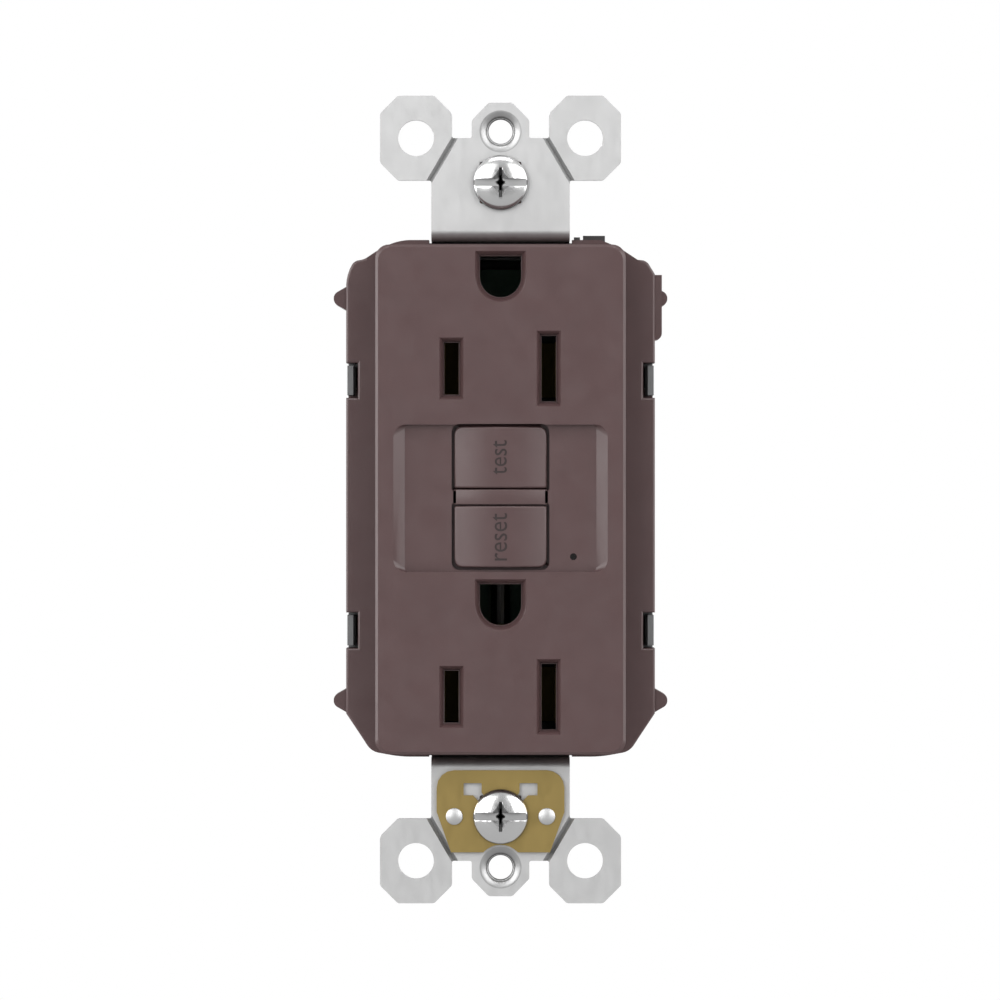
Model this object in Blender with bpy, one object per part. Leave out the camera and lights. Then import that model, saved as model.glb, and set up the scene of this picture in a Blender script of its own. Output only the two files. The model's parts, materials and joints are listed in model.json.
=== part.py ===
"""A duplex ground-fault circuit-interrupter outlet for a decorator wall plate.

Frame: metres, +Z up, +X to the right as the installer faces the wall, and the
face looks along -Y. The origin is on the back plane of the strap's ears, midway
between the two mounting screws, so y = 0 is the wall's surface.
"""
import math

import bmesh
import bpy
from mathutils import Matrix

MM = 0.001
GRID = 1e-7                     # grid that every point is made on
OVERCUT = 0.2 * MM              # how far a chamfer's cutter starts in front of its face

# ---------------------------------------------------------------- driving sizes
GAP = 0.3 * MM                  # between neighbouring pieces
PLAY = 0.35 * MM                # round a part that slides or turns in a hole

# Depths along Y: negative is in front of the wall's surface, positive is in the box.
FACE_Y = -6.6 * MM              # front of the face block
FACE_WALL = 1.8 * MM            # thickness of the face
SKIRT_Y = 0.8 * MM              # front of the skirt
SKIRT_WALL = 1.4 * MM
RIM_WALL = 1.2 * MM             # side wall of the skirt
BLOCK_WALL = 1.4 * MM           # side wall of the face block
COVER_BACK_Y = 9.5 * MM
HOUSING_FRONT_Y = COVER_BACK_Y + GAP
HOUSING_BACK_Y = 26.0 * MM
HOUSING_WALL = 1.4 * MM

# Places of the two outlets, and the ends of the chamber and the body that hold them.
OUTLETS = {"upper": 17.15 * MM, "lower": -25.85 * MM}      # middle of the blade slots
GROUND_RISE = 12.05 * MM        # ground opening's centre above the slots' middle
GROUND_CLIP_TOP = 2.3 * MM      # top of a ground contact above its opening's centre
CHAMBER_HALF_Z = OUTLETS["upper"] + GROUND_RISE + GROUND_CLIP_TOP + GAP

# Face block, which fills a decorator plate's 33.3 x 66.8 mm opening.
FACE_HALF_X = 16.4 * MM
FACE_HALF_Z = 33.4 * MM
FACE_CORNER = 1.8 * MM
FACE_EDGE = 0.35 * MM

# Skirt behind the face block, with its nibs, latch notches and ground guard.
SKIRT_HALF_X = 20.35 * MM
SKIRT_HALF_Z = max(FACE_HALF_Z + 0.8 * MM, CHAMBER_HALF_Z + 2.4 * MM)
TONGUE_WALL_Z = SKIRT_HALF_Z - 0.6 * MM         # outer face of the tongues at the cover's ends
SKIRT_END_FLAT = 13.2 * MM      # half-width of the flat end
SKIRT_SIDE_TOP = SKIRT_HALF_Z - 4.5 * MM        # where the straight side ends, above and below
SKIRT_SIDE_LOW = SKIRT_HALF_Z - 6.0 * MM
NIB_Z = (26.5 * MM, -26.5 * MM)
NIB_REACH = 1.65 * MM
NIB_HALF = 1.55 * MM
NIB_TIP_HALF = 0.6 * MM
NOTCHES = ((13.4 * MM, 18.0 * MM), (-19.6 * MM, -14.9 * MM))
NOTCH_DEEP = 1.55 * MM
GUARD_REACH = 0.92 * MM
GUARD_LOW = 21.0 * MM
GUARD_TOP = 29.6 * MM

# Mounting strap, with the standard device spacings.
STRAP_THICK = 1.2 * MM
DEVICE_SCREW_Z = FACE_HALF_Z + 8.27 * MM        # 83.34 mm (3.281 in) between centres
PLATE_SCREW_Z = DEVICE_SCREW_Z + 6.75 * MM      # 96.84 mm (3.812 in) between centres
EAR_X = 11.12 * MM
EAR_Z = PLATE_SCREW_Z - 0.87 * MM
EAR_HALF_X = 4.74 * MM
EAR_HALF_Z = 5.58 * MM
EAR_CHAMFER = 2.35 * MM
EAR_HOLE_R = 2.36 * MM
STRAP_HALF_X = 9.11 * MM
BEND_CLEAR = 0.6 * MM           # between the face block's end and the wall behind it
STRAP_BEND_Z = FACE_HALF_Z + BEND_CLEAR + STRAP_THICK   # outer face of the wall that goes back to the web
SHOULDER_X = 7.2 * MM
SHOULDER_DROP = 0.2 * MM        # where the shoulder starts, above the ears' inner ends
WEB_Y = 4.0 * MM                # front of the web inside the body
WEB_BACK_Y = WEB_Y + STRAP_THICK
WEB_HALF_X = 13.0 * MM
WEB_HALF_Z = 31.0 * MM
WEB_LAP = 1.0 * MM              # of the pieces joined to the web
TONGUE_HALF_X = 3.79 * MM
TONGUE_TIP_Z = PLATE_SCREW_Z + 3.78 * MM
TONGUE_CHAMFER = (2.23 * MM, 2.3 * MM)
PLATE_HOLE_R = 1.57 * MM
PLATE_DIMPLE_R = 2.73 * MM
PLATE_DIMPLE_DEEP = 0.5 * MM
SCREW_WINDOW = 2.75 * MM        # half of the square hole for a mounting screw
BLADE_WINDOW_X = 8.75 * MM
BLADE_WINDOW_ROOM = 1.2 * MM    # of a blade window beyond the contact leaves, along Z
GROUND_HOLE_R = 3.9 * MM
GROUND_TAB_X = (10.9 * MM, 13.8 * MM)
GROUND_TAB_TIP_Z = SKIRT_HALF_Z + 0.65 * MM
GROUND_NIB_X = (9.7 * MM, 10.5 * MM)
GROUND_NIB_TIP_Z = SKIRT_HALF_Z + 0.45 * MM

# Self-grounding clip on the lower end of the strap.
CLIP_HALF_X = 8.4 * MM
CLIP_TOP_Z = -STRAP_BEND_Z - 0.4 * MM
CLIP_SHOULDER_Z = -DEVICE_SCREW_Z + 0.57 * MM
CLIP_LOW_X = 6.5 * MM
CLIP_LOW_Z = -DEVICE_SCREW_Z - 4.73 * MM
CLIP_CORNER = 2.3 * MM
CLIP_THICK = 0.4 * MM
CLIP_HOLE = 2.6 * MM
CLIP_SLOT_X = (2.5 * MM, 4.85 * MM)
CLIP_SLOT_TOP = CLIP_TOP_Z - 1.7 * MM
CLIP_SLOT_TALL = 1.6 * MM
STAKE_X = 6.08 * MM
STAKE_R = 1.1 * MM
STAKE_TALL = 0.25 * MM

# Mounting screws (6-32) and the fibre squares that hold them in the strap.
MOUNT_SHANK_R = 1.75 * MM
MOUNT_SHANK_LONG = 25.4 * MM
MOUNT_HEAD_R = 3.6 * MM
MOUNT_HEAD_TALL = 1.5 * MM
MOUNT_CROWN_R = 1.98 * MM       # flat top of the head
MOUNT_SLOT = 1.0 * MM
MOUNT_SLOT_DEEP = 0.65 * MM
MOUNT_CROSS = 0.7 * MM
MOUNT_CROSS_LONG = 3.8 * MM
MOUNT_CROSS_DEEP = 0.8 * MM
RETAINER_HALF = 4.2 * MM
RETAINER_THICK = 0.8 * MM

# Recess, buttons and the bar between them.
RECESS_HALF_X = 14.16 * MM
RECESS_TOP = 9.8 * MM
RECESS_LOW = -9.5 * MM
RECESS_DEEP = 0.9 * MM
RECESS_BEVEL = 1.6 * MM
BUTTON_HALF_X = 6.06 * MM
BUTTON_TALL = 8.05 * MM
BUTTON_EDGE = 0.45 * MM
BUTTON_WALL = 1.2 * MM
BUTTON_Y = -6.45 * MM
BUTTON_BACK_Y = -2.2 * MM
FLANGE_REACH = 0.5 * MM         # of the flange that keeps a button behind the face
FLANGE_THICK = 0.8 * MM
TEST_Z = 5.525 * MM
RESET_Z = -4.88 * MM
RESET_TRAVEL = 2.5 * MM
TEST_STEM_R = 1.2 * MM
BOSS_R = 2.1 * MM
PIN_R = 1.1 * MM
PIN_TOP_Y = -4.3 * MM
RESET_SPRING_R = 1.85 * MM
RESET_WIRE_R = 0.25 * MM

# Blade and ground openings of the two outlets.
SLOT_LEFT_X = -6.42 * MM
SLOT_RIGHT_X = 6.32 * MM
SLOT_WIDE = 1.88 * MM
SLOT_LEFT_TALL = 6.8 * MM
SLOT_RIGHT_TALL = 8.6 * MM
GROUND_R = 2.7 * MM
GROUND_TOP = 2.7 * MM           # flat top above the round part's centre
SLOT_LEAD = 0.65 * MM           # lead-in chamfer round each opening

# Contact strips and ground contacts.
BLADE_GAP = 1.7 * MM            # between the leaves of a contact
STRIP_THICK = 0.7 * MM
LEAF_HALF_Z = 3.6 * MM
LEAF_Y = 1.0 * MM
LEAF_BACK_Y = 11.2 * MM
BAR_Y = 6.2 * MM
BRIDGE_Y = 8.7 * MM
BRIDGE_THICK = 0.8 * MM
BRIDGE_TALL = 3.6 * MM
GROUND_CLIP_HALF = 3.6 * MM
GROUND_CLIP_THICK = 0.6 * MM
GROUND_LEAF_HALF_Z = 2.2 * MM
GROUND_CLIP_ROOM = 0.1 * MM     # round the ground pin's opening
GROUND_CLIP_BACK = 13.4 * MM

# Terminals on the sides, with 8-32 screws.
SCREW_Y = 14.9 * MM
TERMINAL_Z = 8.2 * MM
GROUND_SCREW_Z = 25.3 * MM
TERMINAL_X = 13.4 * MM          # inner face of a terminal plate
TERMINAL_THICK = 1.2 * MM
TERMINAL_HALF_Z = 6.0 * MM
TERMINAL_FRONT_Y = 10.4 * MM
TERMINAL_ROOM = 0.5 * MM         # between a terminal plate's end and its pocket's floor
GROUND_LEG_HALF = 4.4 * MM
WIRE_GAP = 2.4 * MM             # room for one 10 AWG or 12 AWG wire
CLAMP_THICK = 1.0 * MM
CLAMP_HALF_Y = 4.3 * MM
CLAMP_HALF_Z = 5.8 * MM
SCREW_HEAD_R = 4.0 * MM
SCREW_HEAD_TALL = 1.9 * MM
SCREW_SLOT = 1.1 * MM
SCREW_SLOT_DEEP = 1.0 * MM
SHANK_R = 2.0 * MM
SHANK_LONG = 5.1 * MM
WIRE_HOLE_R = 1.35 * MM
WIRE_HOLE_OFFSET = 4.0 * MM
WIRE_FUNNEL = 0.6 * MM
POCKET_X = 12.9 * MM
POCKET_HALF_Z = 6.5 * MM
POCKET_BACK_Y = 20.0 * MM
TERMINALS = (
    ("line_hot", -1, TERMINAL_Z, "brass"),
    ("line_neutral", 1, TERMINAL_Z, "nickel"),
    ("load_hot", -1, -TERMINAL_Z, "brass"),
    ("load_neutral", 1, -TERMINAL_Z, "nickel"),
    ("ground", 1, GROUND_SCREW_Z, "green"),
)

# Chamber of the rear housing, the separator and the circuit board.
COVER_OVERHANG = 0.15 * MM      # of the skirt over the rear housing, all round
HOUSING_HALF_X = SKIRT_HALF_X - COVER_OVERHANG
HOOK_THICK = 0.8 * MM
BARB_REACH = 0.25 * MM
BARB_Y = (3.0 * MM, 4.2 * MM)
CHAMBER_HALF_X = 11.6 * MM
BAY_WALL = 1.6 * MM
LOWER_BAY_Z = (-29.2 * MM, -16.6 * MM)
UPPER_BAY_Z = (16.6 * MM, 30.0 * MM)
SEPARATOR_Y = 11.6 * MM
SEPARATOR_THICK = 1.0 * MM
BOARD_Y = 20.0 * MM
BOARD_THICK = 1.6 * MM
BOARD_ROOM = (0.5 * MM, 1.0 * MM)   # between the board's edges and the chamber, along X and Z
THYRISTOR_AT = (-4.5 * MM, -3.75 * MM)
THYRISTOR_WIDE = 4.0 * MM
THYRISTOR_TALL = 4.5 * MM
DISC_X = 5.6 * MM               # inner faces of the varistor and the capacitor
DISC_Z = -23.0 * MM
VARISTOR_THICK = 3.0 * MM
CAPACITOR_THICK = 2.4 * MM

# Contact arms, and the block that lifts them when the outlet is reset.
LIFT_TRAVEL = 1.5 * MM
CONTACT_CLEAR = 0.15 * MM       # left between the contact pads when they are closed
ARM_Y = 9.9 * MM                # front of a contact arm at rest, contacts open
ARM_THICK = 0.4 * MM
ARM_ROOT_Z = 9.0 * MM
ARM_TIP_Z = -6.4 * MM
ARM_X = (4.6 * MM, 6.6 * MM)
PAD_R = 0.9 * MM
PAD_THICK = 0.4 * MM
FIXED_TAB_Y = 6.4 * MM
FIXED_TAB_HALF = 1.4 * MM
BLOCK_HALF_X = 6.75 * MM
BLOCK_ARM_HALF = 1.5 * MM
BLOCK_ARM_THICK = 1.2 * MM
BLOCK_CORE_X = 3.9 * MM
BLOCK_HALF_Z = 3.8 * MM
BLOCK_BACK_Y = 15.8 * MM
PLUNGER_TRAVEL = 1.4 * MM
LATCH_HALF_X = 2.6 * MM
LATCH_THICK = 0.6 * MM
LATCH_Y = 13.6 * MM
LATCH_FOOT_Y = 18.2 * MM
LATCH_LOW_Z = RESET_Z - BLOCK_HALF_Z - PLUNGER_TRAVEL - GAP
LATCH_TOP_Z = RESET_Z + BLOCK_HALF_Z - GAP
PIN_TIP_Y = LATCH_Y - 0.2 * MM
TEST_BLADE_Y = 6.9 * MM
TEST_BLADE_ROOT_Z = 10.6 * MM
TEST_BLADE_LONG = 8.3 * MM
TEST_BLADE_HALF_X = 1.6 * MM

# Line conductors through the two transformers.
TAIL_TALL = 2.4 * MM
TAIL_THICK = 0.7 * MM
RISER_X = (0.9 * MM, 2.2 * MM)
RISER_HALF_Z = 0.8 * MM
TOROID_Z = 19.5 * MM
TOROID_R = 6.1 * MM
TOROID_HOLE_R = 3.2 * MM
TOROID_DEEP = 2.7 * MM
SENSE_Y = 12.9 * MM
NEUTRAL_Y = SENSE_Y + TOROID_DEEP + GAP

# Solenoid behind the lower outlet.
COIL_Y = 16.4 * MM
COIL_TOP_Z = -16.6 * MM
COIL_LOW_Z = -25.6 * MM
BOBBIN_HALF = 3.3 * MM
BOBBIN_FLANGE = 0.8 * MM
BOBBIN_TUBE_R = 2.1 * MM
WINDING_R = 3.1 * MM
PLUNGER_R = 1.25 * MM
PLUNGER_HEAD_R = 2.4 * MM
PLUNGER_HEAD_Z = (-30.2 * MM, -29.4 * MM)
PLUNGER_SPRING_R = 1.95 * MM
PLUNGER_WIRE_R = 0.2 * MM

# Indicator lamp and its light pipe.
LED_X = 9.55 * MM
LED_Z = -7.5 * MM
LED_Y = 18.0 * MM
LED_R = 1.3 * MM
LED_HOLE_R = 0.46 * MM
LIGHT_PIPE_R = 0.9 * MM

COLOURS = {
    "brown": (0.115, 0.085, 0.078, 0.45, 0.0),
    "grey": (0.11, 0.11, 0.115, 0.5, 0.0),
    "zinc": (0.62, 0.62, 0.62, 0.35, 1.0),
    "brass": (0.55, 0.42, 0.2, 0.3, 1.0),
    "nickel": (0.6, 0.58, 0.54, 0.3, 1.0),
    "steel": (0.5, 0.5, 0.52, 0.3, 1.0),
    "green": (0.03, 0.22, 0.08, 0.35, 0.6),
    "copper": (0.5, 0.2, 0.08, 0.35, 0.9),
    "board": (0.02, 0.16, 0.07, 0.5, 0.0),
    "black": (0.02, 0.02, 0.02, 0.5, 0.0),
    "cream": (0.6, 0.52, 0.36, 0.55, 0.0),
    "blue": (0.03, 0.09, 0.35, 0.4, 0.0),
    "clear": (0.75, 0.75, 0.75, 0.15, 0.0),
    "fibre": (0.45, 0.36, 0.24, 0.8, 0.0),
}


# ------------------------------------------------------------- modelling helpers
def clear_scene():
    for old in list(bpy.data.objects):
        bpy.data.objects.remove(old, do_unlink=True)


def new_collection(name):
    group = bpy.data.collections.new(name)
    bpy.context.scene.collection.children.link(group)
    return group


clear_scene()
PARTS = new_collection("gfci_outlet")
CUTTERS = new_collection("cutters")


def material(name):
    made = bpy.data.materials.get(name)
    if made:
        return made
    red, green, blue, rough, metal = COLOURS[name]
    made = bpy.data.materials.new(name)
    made.use_nodes = True
    shader = made.node_tree.nodes["Principled BSDF"]
    shader.inputs["Base Color"].default_value = (red, green, blue, 1.0)
    shader.inputs["Roughness"].default_value = rough
    shader.inputs["Metallic"].default_value = metal
    return made


def from_bmesh(name, mesh_data, group):
    """An object at the origin; its points sit on a fine grid, so faces meant to be flush are flush."""
    for corner in mesh_data.verts:
        corner.co = [round(value / GRID) * GRID for value in corner.co]
    mesh = bpy.data.meshes.new(name)
    mesh_data.to_mesh(mesh)
    mesh_data.free()
    made = bpy.data.objects.new(name, mesh)
    group.objects.link(made)
    return made


def box(name, low, high, group=PARTS):
    """A box between two corners, in metres."""
    made = bmesh.new()
    bmesh.ops.create_cube(made, size=1.0)
    bmesh.ops.scale(made, vec=[high[i] - low[i] for i in range(3)], verts=made.verts)
    bmesh.ops.translate(made, vec=[(high[i] + low[i]) / 2 for i in range(3)], verts=made.verts)
    return from_bmesh(name, made, group)


def mirrored_box(name, low, high, side, group=PARTS):
    """A box given for the +X side, made on the side asked for (+1 or -1)."""
    x_pair = sorted((side * low[0], side * high[0]))
    return box(name, (x_pair[0], low[1], low[2]), (x_pair[1], high[1], high[2]), group)


AXIS_TURN = {
    "X": Matrix.Rotation(math.radians(90), 3, "Y"),
    "Y": Matrix.Rotation(math.radians(-90), 3, "X"),
    "Z": Matrix.Identity(3),
}


def cone(name, axis, start, end, centre, r_start, r_end, sides=16, group=PARTS):
    """A cylinder or cone along a row axis from start to end; centre is its place across the axis."""
    made = bmesh.new()
    bmesh.ops.create_cone(made, cap_ends=True, segments=sides, radius1=r_start, radius2=r_end,
                          depth=end - start)
    bmesh.ops.rotate(made, cent=(0, 0, 0), matrix=AXIS_TURN[axis], verts=made.verts)
    place = list(centre)
    place.insert("XYZ".index(axis), (start + end) / 2)
    bmesh.ops.translate(made, vec=place, verts=made.verts)
    solid = from_bmesh(name, made, group)
    solid.data.shade_smooth()
    solid.data.set_sharp_from_angle(angle=math.radians(40))
    return solid


def rod(name, axis, start, end, centre, radius, sides=16, group=PARTS):
    return cone(name, axis, start, end, centre, radius, radius, sides, group)


def plate(name, outline, front, back, group=PARTS):
    """A flat piece with an outline in X and Z, from y = front to y = back."""
    curve = bpy.data.curves.new(name, "CURVE")
    curve.dimensions = "2D"
    curve.fill_mode = "BOTH"
    curve.extrude = (back - front) / 2
    spline = curve.splines.new("POLY")
    spline.points.add(len(outline) - 1)
    for point, (x, z) in zip(spline.points, outline):
        point.co = (x, z, 0, 1)
    spline.use_cyclic_u = True
    flat = bpy.data.objects.new(name + "_curve", curve)
    CUTTERS.objects.link(flat)
    flat.location = (0, (front + back) / 2, 0)
    flat.rotation_euler = (math.radians(90), 0, 0)
    bpy.context.view_layer.update()
    mesh = bpy.data.meshes.new_from_object(flat.evaluated_get(bpy.context.evaluated_depsgraph_get()))
    mesh.transform(flat.matrix_world)
    made = bmesh.new()
    made.from_mesh(mesh)
    bmesh.ops.remove_doubles(made, verts=made.verts, dist=1e-6)
    bmesh.ops.recalc_face_normals(made, faces=made.faces)
    bpy.data.objects.remove(flat, do_unlink=True)
    bpy.data.meshes.remove(mesh)
    return from_bmesh(name, made, group)


def set_pivot(solid, pivot):
    """Move a piece's origin, with those of its tools, to a point on its joint's axis."""
    for piece in [solid] + [step.object for step in solid.modifiers]:
        piece.data.transform(Matrix.Translation([-value for value in pivot]))
        piece.location = pivot
    return solid


def hull(name, rings, group=PARTS):
    """The convex solid round several rings of points."""
    made = bmesh.new()
    for ring in rings:
        for point in ring:
            made.verts.new(point)
    bmesh.ops.convex_hull(made, input=made.verts)
    bmesh.ops.recalc_face_normals(made, faces=made.faces)
    return from_bmesh(name, made, group)


def arc(centre_x, centre_z, radius, start_deg, end_deg, steps):
    """Points on a round stretch of an outline, in X and Z."""
    turns = [math.radians(start_deg + (end_deg - start_deg) * i / steps) for i in range(steps + 1)]
    return [(centre_x + radius * math.cos(t), centre_z + radius * math.sin(t)) for t in turns]


def rounded(x_low, x_high, z_low, z_high, radii, steps=5):
    """A rectangle with corner radii given as (upper right, upper left, lower left, lower right)."""
    corners = [(x_high, z_high, 0), (x_low, z_high, 90), (x_low, z_low, 180), (x_high, z_low, 270)]
    points = []
    for (x, z, start), radius in zip(corners, radii):
        towards_x = -1 if x == x_high else 1
        towards_z = -1 if z == z_high else 1
        if radius:
            points += arc(x + towards_x * radius, z + towards_z * radius, radius, start, start + 90, steps)
        else:
            points.append((x, z))
    return points


def ring_at(outline, y):
    return [(x, y, z) for x, z in outline]


def hide_tool(tool):
    for group in list(tool.users_collection):
        group.objects.unlink(tool)
    CUTTERS.objects.link(tool)
    tool.hide_render = True
    tool.display_type = "WIRE"


def combine(target, tool, operation):
    hide_tool(tool)
    step = target.modifiers.new(operation.lower(), "BOOLEAN")
    step.operation = operation
    step.object = tool
    step.solver = "EXACT"
    return target


def cut(target, *tools):
    for tool in tools:
        combine(target, tool, "DIFFERENCE")
    return target


def join(target, *tools):
    for tool in tools:
        combine(target, tool, "UNION")
    return target


def finish(solid, colour):
    solid.data.materials.clear()
    solid.data.materials.append(material(colour))
    return solid


# -------------------------------------------------------------------- front cover
def skirt_outline(inset=0.0):
    """Outline of the skirt, drawn in by inset for the inside of its wall."""
    half_x = SKIRT_HALF_X - inset
    half_z = SKIRT_HALF_Z - inset
    flat = SKIRT_END_FLAT - inset / 2
    upper = [
        (half_x, SKIRT_SIDE_TOP - inset / 2),
        (half_x - 1.1 * MM, half_z - 2.7 * MM),
        (half_x - 2.3 * MM, half_z - 2.6 * MM),
        (half_x - 4.7 * MM, half_z - 1.0 * MM),
        (flat, half_z),
    ]
    lower = [
        (flat, -half_z + 0.3 * MM),
        (half_x - 3.3 * MM, -half_z + 1.0 * MM),
        (half_x - 2.0 * MM, -half_z + 3.0 * MM),
        (half_x, -SKIRT_SIDE_LOW + inset / 2),
    ]
    right = lower + upper
    left = [(-x, z) for x, z in reversed(right)]
    return right + left


def side_nib(name, side, middle):
    """A pointed nib on the skirt's side, which centres the body in a box."""
    root = side * (SKIRT_HALF_X - RIM_WALL / 2)
    flank = side * SKIRT_HALF_X
    tip = side * (SKIRT_HALF_X + NIB_REACH)
    front, back = SKIRT_Y + 0.8 * MM, COVER_BACK_Y - MM
    rings = []
    for x, half in ((root, NIB_HALF), (flank, NIB_HALF), (tip, NIB_TIP_HALF)):
        rings.append([(x, y, middle + z) for y in (front, back) for z in (-half, half)])
    return hull(name, rings, CUTTERS)


def slot_cutters(name, x, middle, tall):
    """The slot for one blade, and its lead-in chamfer at the face."""
    half_x, half_z = SLOT_WIDE / 2, tall / 2
    through = box(name, (x - half_x, FACE_Y - MM, middle - half_z),
                  (x + half_x, FACE_Y + FACE_WALL + MM, middle + half_z), CUTTERS)
    rings = []
    for y, grow in ((FACE_Y - OVERCUT, SLOT_LEAD + OVERCUT), (FACE_Y + SLOT_LEAD, 0.0)):
        wide, wide_z = half_x + grow, half_z + grow
        outline = rounded(x - wide, x + wide, middle - wide_z, middle + wide_z, [0] * 4)
        rings.append(ring_at(outline, y))
    return through, hull(name + "_lead", rings, CUTTERS)


def ground_outline(middle, grow=0.0):
    """The opening for the ground pin: flat on top, round below."""
    radius = GROUND_R + grow
    top = middle + GROUND_TOP + grow
    return arc(0, middle, radius, 180, 360, 16) + [(radius, top), (-radius, top)]


def ground_cutters(name, middle):
    through = plate(name, ground_outline(middle), FACE_Y - MM, FACE_Y + FACE_WALL + MM, CUTTERS)
    rings = [ring_at(ground_outline(middle, SLOT_LEAD + OVERCUT), FACE_Y - OVERCUT),
             ring_at(ground_outline(middle), FACE_Y + SLOT_LEAD)]
    return through, hull(name + "_lead", rings, CUTTERS)


def button_outline(middle, round_top, grow=0.0):
    """Outline of a button or, grown by the play, of its well."""
    half_z = BUTTON_TALL / 2 + grow
    half_x = BUTTON_HALF_X + grow
    soft, sharp = 1.05 * MM, 0.25 * MM
    radii = (soft, soft, sharp, sharp) if round_top else (sharp, sharp, soft, soft)
    return rounded(-half_x, half_x, middle - half_z, middle + half_z, radii)


def end_passages(cover):
    """Open the cover's two ends for the strap, and the upper one for its ground arm too."""
    half = STRAP_HALF_X + GAP
    beyond = max(SKIRT_HALF_Z, FACE_HALF_Z + GAP) + MM
    behind = min(SKIRT_HALF_Z - RIM_WALL, FACE_HALF_Z - BLOCK_WALL)
    for end in (-1, 1):
        low, high = sorted((end * (FACE_HALF_Z + GAP), end * beyond))
        cut(cover, box(f"strap_notch_{end}", (-half, SKIRT_Y - MM, low), (half, COVER_BACK_Y + MM, high)))
        low, high = sorted((end * (behind - 2 * MM), end * beyond))
        cut(cover, box(f"web_passage_{end}", (-half, WEB_Y - GAP, low), (half, COVER_BACK_Y + MM, high)))
    cut(cover, box("arm_passage", (half - MM, WEB_Y - GAP, behind),
                   (GROUND_TAB_X[1] + GAP, COVER_BACK_Y + MM, beyond)))


def make_front_cover():
    corners = [FACE_CORNER] * 4
    face = rounded(-FACE_HALF_X, FACE_HALF_X, -FACE_HALF_Z, FACE_HALF_Z, corners, 7)
    top_x, top_z = FACE_HALF_X - FACE_EDGE, FACE_HALF_Z - FACE_EDGE
    face_top = rounded(-top_x, top_x, -top_z, top_z, corners, 7)
    cover = hull("front_cover", [ring_at(face_top, FACE_Y), ring_at(face, FACE_Y + FACE_EDGE),
                                 ring_at(face, SKIRT_Y + SKIRT_WALL / 2)])
    join(cover, plate("skirt_body", skirt_outline(), SKIRT_Y, COVER_BACK_Y))
    for index, middle in enumerate(NIB_Z):
        join(cover, side_nib(f"nib_right_{index}", 1, middle), side_nib(f"nib_left_{index}", -1, middle))
    guard = rounded(SKIRT_HALF_X - RIM_WALL / 2, SKIRT_HALF_X + GUARD_REACH, GUARD_LOW, GUARD_TOP,
                    (0, 0, 0, 0.9 * MM))
    join(cover, plate("guard_tab", guard, SKIRT_Y + 0.4 * MM, COVER_BACK_Y - 0.5 * MM))

    inner_x = FACE_HALF_X - BLOCK_WALL
    inner_z = FACE_HALF_Z - BLOCK_WALL
    cut(cover, box("block_hollow", (-inner_x, FACE_Y + FACE_WALL, -inner_z),
                   (inner_x, SKIRT_Y + SKIRT_WALL + MM, inner_z)),
        plate("skirt_hollow", skirt_outline(RIM_WALL), SKIRT_Y + SKIRT_WALL, COVER_BACK_Y + MM))

    lip_x = RECESS_HALF_X + OVERCUT
    floor_x = RECESS_HALF_X - RECESS_BEVEL
    recess_lip = rounded(-lip_x, lip_x, RECESS_LOW, RECESS_TOP, corners)
    recess_floor = rounded(-floor_x, floor_x, RECESS_LOW, RECESS_TOP, [0.6 * MM] * 4)
    cut(cover, hull("recess", [ring_at(recess_lip, FACE_Y - OVERCUT),
                               ring_at(recess_floor, FACE_Y + RECESS_DEEP)]))
    for name, middle, round_top in (("test_well", TEST_Z, True), ("reset_well", RESET_Z, False)):
        cut(cover, plate(name, button_outline(middle, round_top, PLAY), FACE_Y, FACE_Y + FACE_WALL + MM))
    for place, middle in OUTLETS.items():
        cut(cover, *slot_cutters(f"slot_left_{place}", SLOT_LEFT_X, middle, SLOT_LEFT_TALL),
            *slot_cutters(f"slot_right_{place}", SLOT_RIGHT_X, middle, SLOT_RIGHT_TALL),
            *ground_cutters(f"ground_opening_{place}", middle + GROUND_RISE))
    cut(cover, rod("led_hole", "Y", FACE_Y, FACE_Y + FACE_WALL + MM, (LED_X, LED_Z), LED_HOLE_R, 12))

    for side in (-1, 1):
        for index, (low, high) in enumerate(NOTCHES):
            cut(cover, mirrored_box(f"notch_{side}_{index}", (SKIRT_HALF_X - NOTCH_DEEP, SKIRT_Y - MM, low),
                                    (SKIRT_HALF_X + MM, COVER_BACK_Y + MM, high), side))
    end_passages(cover)
    return finish(cover, "brown")


def make_button_bar():
    """The bar that stands on the recess floor between the two buttons."""
    low = RESET_Z + BUTTON_TALL / 2 + PLAY
    top = TEST_Z - BUTTON_TALL / 2 - PLAY
    bar = box("button_bar", (-BUTTON_HALF_X, BUTTON_Y, low), (BUTTON_HALF_X, FACE_Y + RECESS_DEEP, top))
    return finish(bar, "brown")


# ----------------------------------------------------------------- mounting strap
def ear_outline(side, end):
    """One octagonal break-off ear."""
    points = []
    for x, z in ((1, 1), (-1, 1), (-1, -1), (1, -1)):
        corner = [(x * EAR_HALF_X, z * (EAR_HALF_Z - EAR_CHAMFER)),
                  (x * (EAR_HALF_X - EAR_CHAMFER), z * EAR_HALF_Z)]
        if x * z < 0:
            corner.reverse()
        points += corner
    return [(side * EAR_X + x, end * EAR_Z + z) for x, z in points]


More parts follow.
